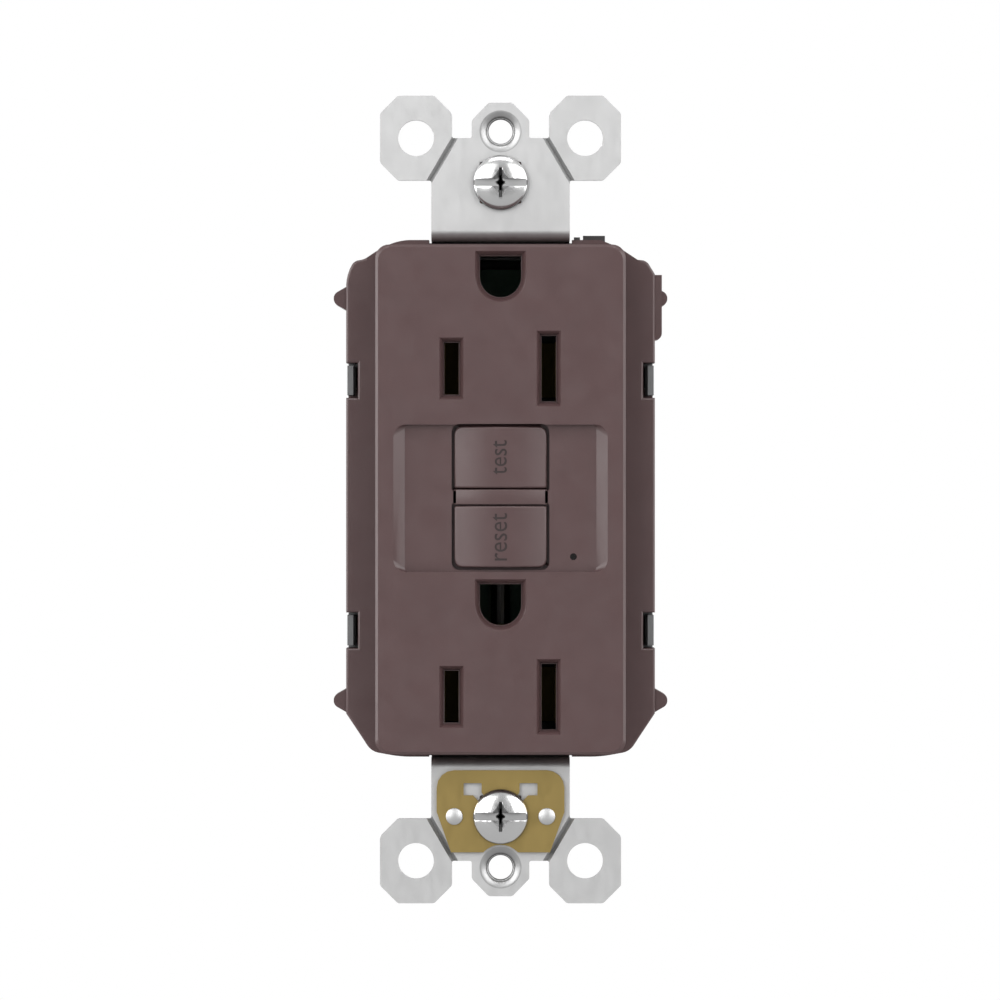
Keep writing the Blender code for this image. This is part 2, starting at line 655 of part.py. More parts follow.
def strap_end(strap, end):
    """The end of the strap that lies on the wall: shoulders, tongue, two ears and their holes."""
    front, back = -STRAP_THICK, 0.0
    wall_in = STRAP_BEND_Z - STRAP_THICK
    low, high = sorted((end * (WEB_HALF_Z - WEB_LAP), end * STRAP_BEND_Z))
    join(strap, box(f"web_end_{end}", (-STRAP_HALF_X, WEB_Y, low), (STRAP_HALF_X, WEB_BACK_Y, high)))
    low, high = sorted((end * wall_in, end * STRAP_BEND_Z))
    join(strap, box(f"web_wall_{end}", (-STRAP_HALF_X, front, low), (STRAP_HALF_X, WEB_BACK_Y, high)))
    ear_low = EAR_Z - EAR_HALF_Z + SHOULDER_DROP
    shoulder = [(-STRAP_HALF_X, end * wall_in), (STRAP_HALF_X, end * wall_in), (STRAP_HALF_X, end * ear_low),
                (SHOULDER_X, end * EAR_Z), (-SHOULDER_X, end * EAR_Z), (-STRAP_HALF_X, end * ear_low)]
    tip = TONGUE_HALF_X - TONGUE_CHAMFER[0]
    cheek = TONGUE_TIP_Z - TONGUE_CHAMFER[1]
    root = EAR_Z - WEB_LAP
    tongue = [(-TONGUE_HALF_X, end * root), (TONGUE_HALF_X, end * root), (TONGUE_HALF_X, end * cheek),
              (tip, end * TONGUE_TIP_Z), (-tip, end * TONGUE_TIP_Z), (-TONGUE_HALF_X, end * cheek)]
    join(strap, plate(f"shoulder_{end}", shoulder, front, back), plate(f"tongue_{end}", tongue, front, back))
    for side in (-1, 1):
        join(strap, plate(f"ear_{side}_{end}", ear_outline(side, end), front, back))
        cut(strap, rod(f"ear_hole_{side}_{end}", "Y", front - MM, back + MM, (side * EAR_X, end * EAR_Z),
                       EAR_HOLE_R, 32))
    centre = (0, end * PLATE_SCREW_Z)
    middle = end * DEVICE_SCREW_Z
    cut(strap, rod(f"plate_hole_{end}", "Y", front - MM, back + MM, centre, PLATE_HOLE_R, 24),
        cone(f"plate_dimple_{end}", "Y", front - OVERCUT, front + PLATE_DIMPLE_DEEP, centre,
             PLATE_DIMPLE_R, PLATE_HOLE_R + OVERCUT, 32),
        box(f"screw_window_{end}", (-SCREW_WINDOW, front - MM, middle - SCREW_WINDOW),
            (SCREW_WINDOW, back + MM, middle + SCREW_WINDOW)))


def make_mounting_strap():
    strap = box("mounting_strap", (-WEB_HALF_X, WEB_Y, -WEB_HALF_Z), (WEB_HALF_X, WEB_BACK_Y, WEB_HALF_Z))
    for end in (-1, 1):
        strap_end(strap, end)

    # Windows for the blades, and the holes for the ground pins, the button stems and the light pipe.
    through = (WEB_Y - MM, WEB_BACK_Y + MM)
    window_half = LEAF_HALF_Z + BLADE_WINDOW_ROOM
    for place, middle in OUTLETS.items():
        cut(strap, box(f"blade_window_{place}", (-BLADE_WINDOW_X, through[0], middle - window_half),
                       (BLADE_WINDOW_X, through[1], middle + window_half)),
            rod(f"ground_hole_{place}", "Y", *through, (0, middle + GROUND_RISE), GROUND_HOLE_R, 24))
    cut(strap, rod("reset_hole", "Y", *through, (0, RESET_Z), PIN_R + PLAY, 16),
        rod("test_hole", "Y", *through, (0, TEST_Z), TEST_STEM_R + PLAY, 16),
        rod("light_hole", "Y", *through, (LED_X, LED_Z), LIGHT_PIPE_R + PLAY, 12))

    # The ground arm: a tab and a nib that show above the cover, and a leg bent back to the ground terminal.
    leg_x = TERMINAL_X + TERMINAL_THICK
    low, high = GROUND_SCREW_Z - GROUND_LEG_HALF, GROUND_SCREW_Z + GROUND_LEG_HALF
    tab_root = WEB_HALF_Z - WEB_LAP
    tips = {"ground_tab": (GROUND_TAB_X, GROUND_TAB_TIP_Z), "ground_nib": (GROUND_NIB_X, GROUND_NIB_TIP_Z)}
    for name, (across, tip) in tips.items():
        join(strap, box(name, (across[0], WEB_Y, tab_root), (across[1], WEB_BACK_Y, tip)))
    join(strap, box("ground_bridge", (WEB_HALF_X - WEB_LAP, WEB_Y, low), (leg_x, WEB_BACK_Y, high)),
         box("ground_leg", (TERMINAL_X, WEB_Y, low), (leg_x, POCKET_BACK_Y - TERMINAL_ROOM, high)))
    cut(strap, screw_hole("ground_screw_hole", 1, GROUND_SCREW_Z))
    return finish(strap, "zinc")


def make_ground_clip():
    """Brass clip on the front of the lower strap end, which grips the mounting screw."""
    corner_x, corner_z = CLIP_HALF_X - CLIP_CORNER, CLIP_TOP_Z - CLIP_CORNER
    outline = arc(corner_x, corner_z, CLIP_CORNER, 0, 90, 4)
    outline += arc(-corner_x, corner_z, CLIP_CORNER, 90, 180, 4)
    outline += [(-CLIP_HALF_X, CLIP_SHOULDER_Z), (-CLIP_LOW_X, CLIP_LOW_Z), (CLIP_LOW_X, CLIP_LOW_Z),
                (CLIP_HALF_X, CLIP_SHOULDER_Z)]
    back = -STRAP_THICK - GAP
    front = back - CLIP_THICK
    clip = plate("ground_clip", outline, front, back)
    cut(clip, box("clip_screw_window", (-CLIP_HOLE, front - MM, -DEVICE_SCREW_Z - CLIP_HOLE),
                  (CLIP_HOLE, back + MM, -DEVICE_SCREW_Z + CLIP_HOLE)),
        rod("clip_plate_hole", "Y", front - MM, back + MM, (0, -PLATE_SCREW_Z), PLATE_DIMPLE_R + GAP, 32))
    for side in (-1, 1):
        cut(clip, mirrored_box(f"clip_slot_{side}", (CLIP_SLOT_X[0], front - MM, CLIP_SLOT_TOP - CLIP_SLOT_TALL),
                               (CLIP_SLOT_X[1], back + MM, CLIP_SLOT_TOP), side))
        stake = (side * STAKE_X, -DEVICE_SCREW_Z)
        join(clip, rod(f"stake_{side}", "Y", front - STAKE_TALL, front + OVERCUT, stake, STAKE_R, 16))
    return finish(clip, "brass")


def make_mounting_screws():
    for place, end in (("upper", 1), ("lower", -1)):
        middle = end * DEVICE_SCREW_Z
        centre = (0, middle)
        seat = -STRAP_THICK - GAP - (CLIP_THICK + GAP if end < 0 else 0)
        rim = seat - MOUNT_HEAD_TALL / 3
        top = seat - MOUNT_HEAD_TALL
        screw = rod(f"mounting_screw_{place}", "Y", rim, seat, centre, MOUNT_HEAD_R, 32)
        join(screw, cone(f"head_dome_{place}", "Y", top, rim, centre, MOUNT_CROWN_R, MOUNT_HEAD_R, 32),
             rod(f"mount_shank_{place}", "Y", seat - GAP, seat + MOUNT_SHANK_LONG, centre, MOUNT_SHANK_R, 16))
        across, half_slot = MOUNT_HEAD_R + MM, MOUNT_SLOT / 2
        half_cross, cross_reach = MOUNT_CROSS / 2, MOUNT_CROSS_LONG / 2
        cut(screw, box(f"mount_slot_{place}", (-across, top - MM, middle - half_slot),
                       (across, top + MOUNT_SLOT_DEEP, middle + half_slot)),
            box(f"mount_cross_{place}", (-half_cross, top - MM, middle - cross_reach),
                (half_cross, top + MOUNT_CROSS_DEEP, middle + cross_reach)))
        set_pivot(finish(screw, "zinc"), (0, seat, middle))
        washer = box(f"screw_retainer_{place}", (-RETAINER_HALF, GAP, middle - RETAINER_HALF),
                     (RETAINER_HALF, GAP + RETAINER_THICK, middle + RETAINER_HALF))
        cut(washer, rod(f"retainer_hole_{place}", "Y", 0, RETAINER_THICK + MM, centre,
                        MOUNT_SHANK_R + PLAY, 16))
        finish(washer, "fibre")


# -------------------------------------------------------------------------- buttons
def make_button_cap(name, middle, round_top):
    """A hollow button cap with its front edge rounded over."""
    outline = button_outline(middle, round_top)
    inner = button_outline(middle, round_top, -BUTTON_EDGE)
    cap = hull(name, [ring_at(inner, BUTTON_Y), ring_at(outline, BUTTON_Y + BUTTON_EDGE),
                      ring_at(outline, BUTTON_BACK_Y)])
    flange_y = FACE_Y + FACE_WALL + GAP
    join(cap, plate(name + "_flange", button_outline(middle, round_top, FLANGE_REACH), flange_y,
                    flange_y + FLANGE_THICK))
    half_x = BUTTON_HALF_X - BUTTON_WALL
    half_z = BUTTON_TALL / 2 - BUTTON_WALL
    return cut(cap, box(name + "_hollow", (-half_x, BUTTON_Y + BUTTON_WALL, middle - half_z),
                        (half_x, BUTTON_BACK_Y + MM, middle + half_z)))


def make_test_button():
    button = make_button_cap("test_button", TEST_Z, True)
    tip_y = TEST_BLADE_Y - GAP
    centre = (0, TEST_Z)
    join(button, rod("test_stem", "Y", BUTTON_Y + BUTTON_WALL / 2, tip_y - 1.2 * MM, centre, TEST_STEM_R, 16),
         cone("test_tip", "Y", tip_y - 1.5 * MM, tip_y, centre, TEST_STEM_R * 1.25, TEST_STEM_R / 2, 16))
    return set_pivot(finish(button, "brown"), (0, BUTTON_BACK_Y, TEST_Z))


def make_reset_button():
    """The reset cap, and the grooved steel pin that is pressed into its boss."""
    centre = (0, RESET_Z)
    button = make_button_cap("reset_button", RESET_Z, False)
    join(button, rod("reset_boss", "Y", BUTTON_Y + BUTTON_WALL / 2, BUTTON_BACK_Y, centre, BOSS_R, 16))
    cut(button, rod("reset_socket", "Y", PIN_TOP_Y - GAP, BUTTON_BACK_Y + MM, centre, PIN_R + GAP, 16))
    set_pivot(finish(button, "brown"), (0, BUTTON_BACK_Y, RESET_Z))
    pin = rod("reset_pin", "Y", PIN_TOP_Y, PIN_TIP_Y - 1.6 * MM, centre, PIN_R, 16)
    join(pin, rod("pin_neck", "Y", PIN_TIP_Y - 2.5 * MM, PIN_TIP_Y - 0.4 * MM, centre, PIN_R * 0.6, 16),
         cone("pin_head", "Y", PIN_TIP_Y - 0.7 * MM, PIN_TIP_Y, centre, PIN_R, PIN_R * 0.6, 16))
    set_pivot(finish(pin, "steel"), (0, BUTTON_BACK_Y, RESET_Z))


def coil(name, axis, start, end, centre, radius, wire_r, turns, steps=10):
    """A helical spring along a row axis."""
    curve = bpy.data.curves.new(name, "CURVE")
    curve.dimensions = "3D"
    curve.bevel_depth = wire_r
    curve.bevel_resolution = 0
    curve.use_fill_caps = True
    spline = curve.splines.new("POLY")
    count = turns * steps
    spline.points.add(count)
    low, high = start + wire_r, end - wire_r
    for index, point in enumerate(spline.points):
        angle = 2 * math.pi * index / steps
        place = [centre[0] + radius * math.cos(angle), centre[1] + radius * math.sin(angle)]
        place.insert("XYZ".index(axis), low + (high - low) * index / count)
        point.co = (*place, 1)
    spring = bpy.data.objects.new(name, curve)
    PARTS.objects.link(spring)
    curve.materials.append(material("steel"))
    return spring


def make_springs():
    coil("reset_spring", "Y", BUTTON_BACK_Y + GAP, WEB_Y - GAP, (0, RESET_Z), RESET_SPRING_R, RESET_WIRE_R, 4)
    coil("plunger_spring", "Z", PLUNGER_HEAD_Z[1] + GAP, COIL_LOW_Z - GAP, (0, COIL_Y), PLUNGER_SPRING_R,
         PLUNGER_WIRE_R, 3)


# ------------------------------------------------------------------- inner mechanism
def make_latch_block():
    """The block that lifts both contact arms, with a bore for the reset pin and a slot for the latch."""
    front = ARM_Y + ARM_THICK + GAP
    low, high = RESET_Z - BLOCK_HALF_Z, RESET_Z + BLOCK_HALF_Z
    block = box("latch_block", (-BLOCK_CORE_X, front, low), (BLOCK_CORE_X, BLOCK_BACK_Y, high))
    join(block, box("lift_arms", (-BLOCK_HALF_X, front, RESET_Z - BLOCK_ARM_HALF),
                    (BLOCK_HALF_X, front + BLOCK_ARM_THICK, RESET_Z + BLOCK_ARM_HALF)))
    cut(block, rod("pin_bore", "Y", front - MM, BLOCK_BACK_Y + MM, (0, RESET_Z), PIN_R + PLAY, 16),
        box("latch_slot", (-LATCH_HALF_X - GAP, LATCH_Y - GAP, low - MM),
            (LATCH_HALF_X + GAP, LATCH_Y + LATCH_THICK + GAP, high + MM)))
    return set_pivot(finish(block, "black"), (0, front, RESET_Z))


def make_latch_plate():
    """The steel plate that catches the reset pin's neck, with a foot for the solenoid's plunger."""
    hole = PIN_R + PLAY
    latch = box("latch_plate", (-LATCH_HALF_X, LATCH_Y, LATCH_LOW_Z),
                (LATCH_HALF_X, LATCH_Y + LATCH_THICK, LATCH_TOP_Z))
    join(latch, box("latch_foot", (-LATCH_HALF_X, LATCH_Y, LATCH_LOW_Z - LATCH_THICK),
                    (LATCH_HALF_X, LATCH_FOOT_Y, LATCH_LOW_Z)))
    cut(latch, box("latch_hole", (-hole, LATCH_Y - MM, RESET_Z - hole - PLUNGER_TRAVEL),
                   (hole, LATCH_Y + LATCH_THICK + MM, RESET_Z + hole)))
    return set_pivot(finish(latch, "steel"), (0, LATCH_Y, RESET_Z))


def make_contact_arms():
    for name, side in (("hot", -1), ("neutral", 1)):
        middle = side * sum(ARM_X) / 2
        arm = mirrored_box(f"contact_arm_{name}", (ARM_X[0], ARM_Y, ARM_TIP_Z),
                           (ARM_X[1], ARM_Y + ARM_THICK, ARM_ROOT_Z), side)
        join(arm, rod(f"moving_pad_{name}", "Y", ARM_Y - PAD_THICK, ARM_Y + ARM_THICK / 2, (middle, RESET_Z),
                      PAD_R, 12))
        set_pivot(finish(arm, "brass"), (middle, ARM_Y + ARM_THICK / 2, ARM_ROOT_Z))


def make_test_blade():
    """The leaf that the test button bends towards the test contact."""
    blade = box("test_blade", (-TEST_BLADE_HALF_X, TEST_BLADE_Y, TEST_BLADE_ROOT_Z - TEST_BLADE_LONG),
                (TEST_BLADE_HALF_X, TEST_BLADE_Y + ARM_THICK, TEST_BLADE_ROOT_Z))
    return set_pivot(finish(blade, "brass"), (0, TEST_BLADE_Y, TEST_BLADE_ROOT_Z))


def screw_hole(name, side, middle, start=TERMINAL_X - MM, end=TERMINAL_X + TERMINAL_THICK + MM):
    """A clearance hole for a terminal screw's shank, along X between two distances from the middle."""
    low, high = sorted((side * start, side * end))
    return rod(name, "X", low, high, (SCREW_Y, middle), SHANK_R + PLAY, 16)


def blade_contact(strip, name, side, slot, middle):
    """The pair of leaves, joined by a base, that grips one blade."""
    gap_out, gap_in = slot + BLADE_GAP / 2, slot - BLADE_GAP / 2
    outer, inner = gap_out + STRIP_THICK, gap_in - STRIP_THICK
    low, high = middle - LEAF_HALF_Z, middle + LEAF_HALF_Z
    base_y = LEAF_BACK_Y - STRIP_THICK
    join(strip, mirrored_box(f"leaf_outer_{name}", (gap_out, LEAF_Y, low), (outer, LEAF_BACK_Y, high), side),
         mirrored_box(f"leaf_base_{name}", (inner, base_y, low), (outer, LEAF_BACK_Y, high), side),
         mirrored_box(f"leaf_inner_{name}", (inner, LEAF_Y, low), (gap_in, LEAF_BACK_Y, high), side))


def make_contact_strips():
    """Face contacts: a strip each side, with leaves at its slots, a fixed pad and the load terminal."""
    for name, side, slot in (("hot", -1, -SLOT_LEFT_X), ("neutral", 1, SLOT_RIGHT_X)):
        bar_in = slot + BLADE_GAP / 2
        bar_out = bar_in + STRIP_THICK
        bridge_back = BRIDGE_Y + BRIDGE_THICK
        strip = mirrored_box(f"contact_strip_{name}", (bar_in, BAR_Y, OUTLETS["lower"]),
                             (bar_out, bridge_back, OUTLETS["upper"]), side)
        for place, middle in OUTLETS.items():
            blade_contact(strip, f"{name}_{place}", side, slot, middle)
        pad_back = ARM_Y - PAD_THICK - LIFT_TRAVEL - CONTACT_CLEAR
        pad_place = (side * sum(ARM_X) / 2, RESET_Z)
        join(strip, mirrored_box(f"fixed_tab_{name}", (ARM_X[0], FIXED_TAB_Y, RESET_Z - FIXED_TAB_HALF),
                                 (bar_out, FIXED_TAB_Y + STRIP_THICK, RESET_Z + FIXED_TAB_HALF), side),
             rod(f"fixed_pad_{name}", "Y", FIXED_TAB_Y + STRIP_THICK / 2, pad_back, pad_place, PAD_R, 12))
        low, high = -TERMINAL_Z - TERMINAL_HALF_Z, -TERMINAL_Z + TERMINAL_HALF_Z
        plate_out, plate_back = TERMINAL_X + TERMINAL_THICK, POCKET_BACK_Y - TERMINAL_ROOM
        join(strip, mirrored_box(f"load_bridge_{name}", (bar_in, BRIDGE_Y, low),
                                 (plate_out, bridge_back, low + BRIDGE_TALL), side),
             mirrored_box(f"load_plate_{name}", (TERMINAL_X, BRIDGE_Y, low),
                          (plate_out, plate_back, high), side))
        cut(strip, screw_hole(f"load_hole_{name}", side, -TERMINAL_Z))
        finish(strip, "brass")


def make_line_terminals():
    """Line terminal plates, each with the conductor that runs through both transformers to its arm."""
    back = BOARD_Y - GAP
    front = back - TAIL_THICK
    low, high = TERMINAL_Z - TERMINAL_HALF_Z, TERMINAL_Z + TERMINAL_HALF_Z
    riser_low, riser_high = TOROID_Z - RISER_HALF_Z, TOROID_Z + RISER_HALF_Z
    arm_low = ARM_ROOT_Z + GAP
    riser_back = ARM_Y + TAIL_THICK
    riser_in, riser_out = RISER_X
    for name, side in (("hot", -1), ("neutral", 1)):
        line = mirrored_box(f"line_terminal_{name}", (TERMINAL_X, TERMINAL_FRONT_Y, low),
                            (TERMINAL_X + TERMINAL_THICK, back, high), side)
        pieces = {
            "line_tail": ((riser_in, front, high - TAIL_TALL), (TERMINAL_X + MM / 2, back, high)),
            "line_link": ((riser_in, front, high - TAIL_TALL), (riser_out, back, riser_high)),
            "line_riser": ((riser_in, ARM_Y, riser_low), (riser_out, back, riser_high)),
            "riser_top": ((riser_in, ARM_Y, arm_low), (riser_out, riser_back, riser_high)),
            "arm_seat": ((riser_in, ARM_Y, arm_low), (ARM_X[1], riser_back, arm_low + 2 * MM)),
        }
        for piece, (corner, opposite) in pieces.items():
            join(line, mirrored_box(f"{piece}_{name}", corner, opposite, side))
        cut(line, screw_hole(f"line_hole_{name}", side, TERMINAL_Z))
        finish(line, "brass")


def make_ground_contacts():
    """Spring clips under the strap for the plug's ground pin."""
    front = WEB_BACK_Y + GAP
    for place, middle in OUTLETS.items():
        centre = middle + GROUND_RISE
        name = f"ground_contact_{place}"
        half = GROUND_CLIP_HALF
        back = front + GROUND_CLIP_THICK
        clip = box(name, (-half, front, centre - half), (half, back, centre + GROUND_CLIP_TOP))
        for side in (-1, 1):
            low, high = centre - GROUND_LEAF_HALF_Z, centre + GROUND_LEAF_HALF_Z
            join(clip, mirrored_box(f"{name}_leaf_{side}", (half - GROUND_CLIP_THICK, front, low),
                                    (half, GROUND_CLIP_BACK, high), side))
        mouth = ground_outline(centre, GROUND_CLIP_ROOM)
        cut(clip, plate(f"{name}_mouth", mouth, front - MM, back + MM, CUTTERS))
        finish(clip, "brass")


# ---------------------------------------------------------------- terminal hardware
def make_terminal(name, side, middle, colour):
    """A pressure clamp and the screw that draws it towards its terminal plate."""
    clamp_in = TERMINAL_X + TERMINAL_THICK + WIRE_GAP
    clamp_out = clamp_in + CLAMP_THICK
    pivot = (side * clamp_in, SCREW_Y, middle)
    clamp = mirrored_box(f"clamp_{name}", (clamp_in, SCREW_Y - CLAMP_HALF_Y, middle - CLAMP_HALF_Z),
                         (clamp_out, SCREW_Y + CLAMP_HALF_Y, middle + CLAMP_HALF_Z), side)
    cut(clamp, screw_hole(f"clamp_hole_{name}", side, middle, clamp_in - MM, clamp_out + MM))
    set_pivot(finish(clamp, "nickel"), pivot)

    head_in = clamp_out + 0.1 * MM
    head_out = head_in + SCREW_HEAD_TALL
    low, high = sorted((side * head_in, side * head_out))
    screw = rod(f"terminal_screw_{name}", "X", low, high, (SCREW_Y, middle), SCREW_HEAD_R, 24)
    low, high = sorted((side * (head_in - SHANK_LONG), side * (head_in + MM)))
    join(screw, rod(f"shank_{name}", "X", low, high, (SCREW_Y, middle), SHANK_R, 16))
    half = SCREW_SLOT / 2
    floor = head_out - SCREW_SLOT_DEEP
    reach = SCREW_HEAD_R + MM
    cross = SCREW_HEAD_R * 0.58
    above = head_out + MM
    cut(screw, mirrored_box(f"slot_{name}", (floor, SCREW_Y - reach, middle - half),
                            (above, SCREW_Y + reach, middle + half), side),
        mirrored_box(f"cross_{name}", (floor, SCREW_Y - half, middle - cross),
                     (above, SCREW_Y + half, middle + cross), side))
    set_pivot(finish(screw, colour), pivot)


# --------------------------------------------------------------------- solenoid
def make_solenoid():
    centre = (0, COIL_Y)
    bobbin = rod("coil_bobbin", "Z", COIL_LOW_Z, COIL_TOP_Z, centre, BOBBIN_TUBE_R, 20)
    for index, low in enumerate((COIL_LOW_Z, COIL_TOP_Z - BOBBIN_FLANGE)):
        join(bobbin, box(f"bobbin_flange_{index}", (-BOBBIN_HALF, COIL_Y - BOBBIN_HALF, low),
                         (BOBBIN_HALF, COIL_Y + BOBBIN_HALF, low + BOBBIN_FLANGE)))
    cut(bobbin, rod("bobbin_bore", "Z", COIL_LOW_Z - MM, COIL_TOP_Z + MM, centre, PLUNGER_R + GAP, 20))
    finish(bobbin, "cream")

    low, high = COIL_LOW_Z + BOBBIN_FLANGE + GAP, COIL_TOP_Z - BOBBIN_FLANGE - GAP
    winding = rod("coil_winding", "Z", low, high, centre, WINDING_R, 24)
    cut(winding, rod("winding_bore", "Z", low - MM, high + MM, centre, BOBBIN_TUBE_R + 0.2 * MM, 20))
    finish(winding, "copper")

    tip_z = LATCH_LOW_Z - LATCH_THICK - GAP
    plunger = rod("solenoid_plunger", "Z", PLUNGER_HEAD_Z[0] + MM / 2, tip_z, centre, PLUNGER_R, 16)
    join(plunger, rod("plunger_head", "Z", *PLUNGER_HEAD_Z, centre, PLUNGER_HEAD_R, 16))
    set_pivot(finish(plunger, "steel"), (0, COIL_Y, tip_z))


# ------------------------------------------------------ transformers and electronics
def make_transformers():
    for name, front in (("sense_transformer", SENSE_Y), ("neutral_transformer", NEUTRAL_Y)):
        back = front + TOROID_DEEP
        ring = rod(name, "Y", front, back, (0, TOROID_Z), TOROID_R, 28)
        cut(ring, rod(name + "_hole", "Y", front - MM, back + MM, (0, TOROID_Z), TOROID_HOLE_R, 20))
        finish(ring, "copper")


def make_electronics():
    board_x = CHAMBER_HALF_X - BOARD_ROOM[0]
    board_z = CHAMBER_HALF_Z - BOARD_ROOM[1]
    board = box("circuit_board", (-board_x, BOARD_Y, -board_z), (board_x, BOARD_Y + BOARD_THICK, board_z))
    finish(board, "board")
    back = BOARD_Y + BOARD_THICK + GAP
    room = HOUSING_BACK_Y - HOUSING_WALL - GAP
    low, high = THYRISTOR_AT[1] - THYRISTOR_TALL / 2, THYRISTOR_AT[1] + THYRISTOR_TALL / 2
    left, right = THYRISTOR_AT[0] - THYRISTOR_WIDE / 2, THYRISTOR_AT[0] + THYRISTOR_WIDE / 2
    finish(box("thyristor", (left, back, low), (right, room, high)), "black")
    # Two discs stand on the front of the board, either side of the solenoid.
    disc_r = (BOARD_Y - SEPARATOR_Y - SEPARATOR_THICK) / 2 - GAP
    disc_y = BOARD_Y - GAP - disc_r
    finish(rod("varistor", "X", DISC_X, DISC_X + VARISTOR_THICK, (disc_y, DISC_Z), disc_r, 20), "blue")
    finish(rod("capacitor", "X", -DISC_X - CAPACITOR_THICK, -DISC_X, (disc_y, DISC_Z), disc_r, 20), "cream")
    finish(rod("led", "Y", LED_Y, BOARD_Y - GAP, (LED_X, LED_Z), LED_R, 16), "clear")
    pipe = rod("light_pipe", "Y", FACE_Y + FACE_WALL + GAP, LED_Y - GAP, (LED_X, LED_Z), LIGHT_PIPE_R, 12)
    finish(pipe, "clear")


# ---------------------------------------------------------- separator and rear housing
def make_separator():
    """The plate between the face contacts and the mechanism, with a window for each part that passes it."""
    half_x, half_z = CHAMBER_HALF_X - GAP, CHAMBER_HALF_Z - GAP
    front, back = SEPARATOR_Y, SEPARATOR_Y + SEPARATOR_THICK
    through = (front - MM, back + MM)
    separator = box("separator", (-half_x, front, -half_z), (half_x, back, half_z))
    lift_x, lift_z = BLOCK_HALF_X + PLAY, BLOCK_HALF_Z + PLAY
    riser_x, riser_z = RISER_X[1] + PLAY, RISER_HALF_Z + PLAY
    cut(separator, box("lift_window", (-lift_x, through[0], RESET_Z - lift_z),
                       (lift_x, through[1], RESET_Z + lift_z)),
        box("riser_window", (-riser_x, through[0], TOROID_Z - riser_z),
            (riser_x, through[1], TOROID_Z + riser_z)),
        box("latch_window", (-LATCH_HALF_X - PLAY, through[0], LATCH_LOW_Z - LATCH_THICK - PLAY),
            (LATCH_HALF_X + PLAY, through[1], LATCH_TOP_Z + PLUNGER_TRAVEL + PLAY)),
        rod("light_window", "Y", *through, (LED_X, LED_Z), LIGHT_PIPE_R + PLAY, 12))
    pin_x, pin_z = GROUND_CLIP_HALF + PLAY, GROUND_R + PLAY
    for place, middle in OUTLETS.items():
        centre = middle + GROUND_RISE
        cut(separator, box(f"ground_window_{place}", (-pin_x, through[0], centre - pin_z),
                           (pin_x, through[1], centre + pin_z)))
    return finish(separator, "black")


def latch_hook(housing, name, side, low, high):
    """One of the hooks that rise through the skirt's notches and hold the cover."""
    hook_in = HOUSING_HALF_X - HOOK_THICK
    low, high = low + PLAY, high - PLAY
    join(housing, mirrored_box(f"hook_{name}", (hook_in, SKIRT_Y + 0.4 * MM, low),
                               (HOUSING_HALF_X, HOUSING_FRONT_Y + 2 * MM, high), side),
         mirrored_box(f"barb_{name}", (hook_in - BARB_REACH, BARB_Y[0], low),
                      (HOUSING_HALF_X - HOOK_THICK / 2, BARB_Y[1], high), side))


def end_tongues(housing):
    """The tongues that close the cover's ends behind the strap."""
    front, back = WEB_BACK_Y + GAP, HOUSING_FRONT_Y + MM
    for end, right in ((-1, STRAP_HALF_X), (1, GROUND_TAB_X[1])):
        low, high = sorted((end * (CHAMBER_HALF_Z + GAP), end * TONGUE_WALL_Z))
        join(housing, box(f"end_tongue_{end}", (-STRAP_HALF_X, front, low), (right, back, high)))


def make_rear_housing():
    """The back body, a touch narrower than the skirt, so that the cover overhangs it."""
    housing = plate("rear_housing", skirt_outline(COVER_OVERHANG), HOUSING_FRONT_Y, HOUSING_BACK_Y)
    for side in (-1, 1):
        for index, (low, high) in enumerate(NOTCHES):
            latch_hook(housing, f"{side}_{index}", side, low, high)
    end_tongues(housing)
    front, floor_y = HOUSING_FRONT_Y - MM, HOUSING_BACK_Y - HOUSING_WALL
    cut(housing, box("chamber", (-CHAMBER_HALF_X, front, -CHAMBER_HALF_Z),
                     (CHAMBER_HALF_X, floor_y, CHAMBER_HALF_Z)))
    # Side bays beside the solenoid and, on the left, opposite the ground terminal.
    bay_x = HOUSING_HALF_X - BAY_WALL
    for name, side, (low, high) in (("lower_left", -1, LOWER_BAY_Z), ("lower_right", 1, LOWER_BAY_Z),
                                    ("upper_left", -1, UPPER_BAY_Z)):
        cut(housing, mirrored_box(f"bay_{name}", (CHAMBER_HALF_X - MM, front, low),
                                  (bay_x, floor_y, high), side))

    wire_x = TERMINAL_X + TERMINAL_THICK + WIRE_GAP / 2
    for name, side, middle, _ in TERMINALS:
        cut(housing, mirrored_box(f"pocket_{name}", (POCKET_X, front, middle - POCKET_HALF_Z),
                                  (HOUSING_HALF_X + MM, POCKET_BACK_Y, middle + POCKET_HALF_Z), side),
            screw_hole(f"shank_room_{name}", side, middle, CHAMBER_HALF_X - MM, POCKET_X + MM))
        for index, offset in enumerate((-WIRE_HOLE_OFFSET, WIRE_HOLE_OFFSET)):
            centre = (side * wire_x, middle + offset)
            cut(housing, rod(f"wire_hole_{name}_{index}", "Y", POCKET_BACK_Y - MM, HOUSING_BACK_Y + MM,
                             centre, WIRE_HOLE_R, 12),
                cone(f"wire_funnel_{name}_{index}", "Y", HOUSING_BACK_Y - WIRE_FUNNEL,
                     HOUSING_BACK_Y + OVERCUT, centre, WIRE_HOLE_R, WIRE_HOLE_R + WIRE_FUNNEL, 12))
    # Slots in the partitions for the tails of the line terminals.
    high = TERMINAL_Z + TERMINAL_HALF_Z
    for side in (-1, 1):
        cut(housing, mirrored_box(f"tail_room_{side}", (CHAMBER_HALF_X - MM, BOARD_Y - GAP - TAIL_THICK - GAP,
                                                        high - TAIL_TALL - PLAY),
                                  (POCKET_X + MM, BOARD_Y, high + PLAY), side))
    return finish(housing, "grey")


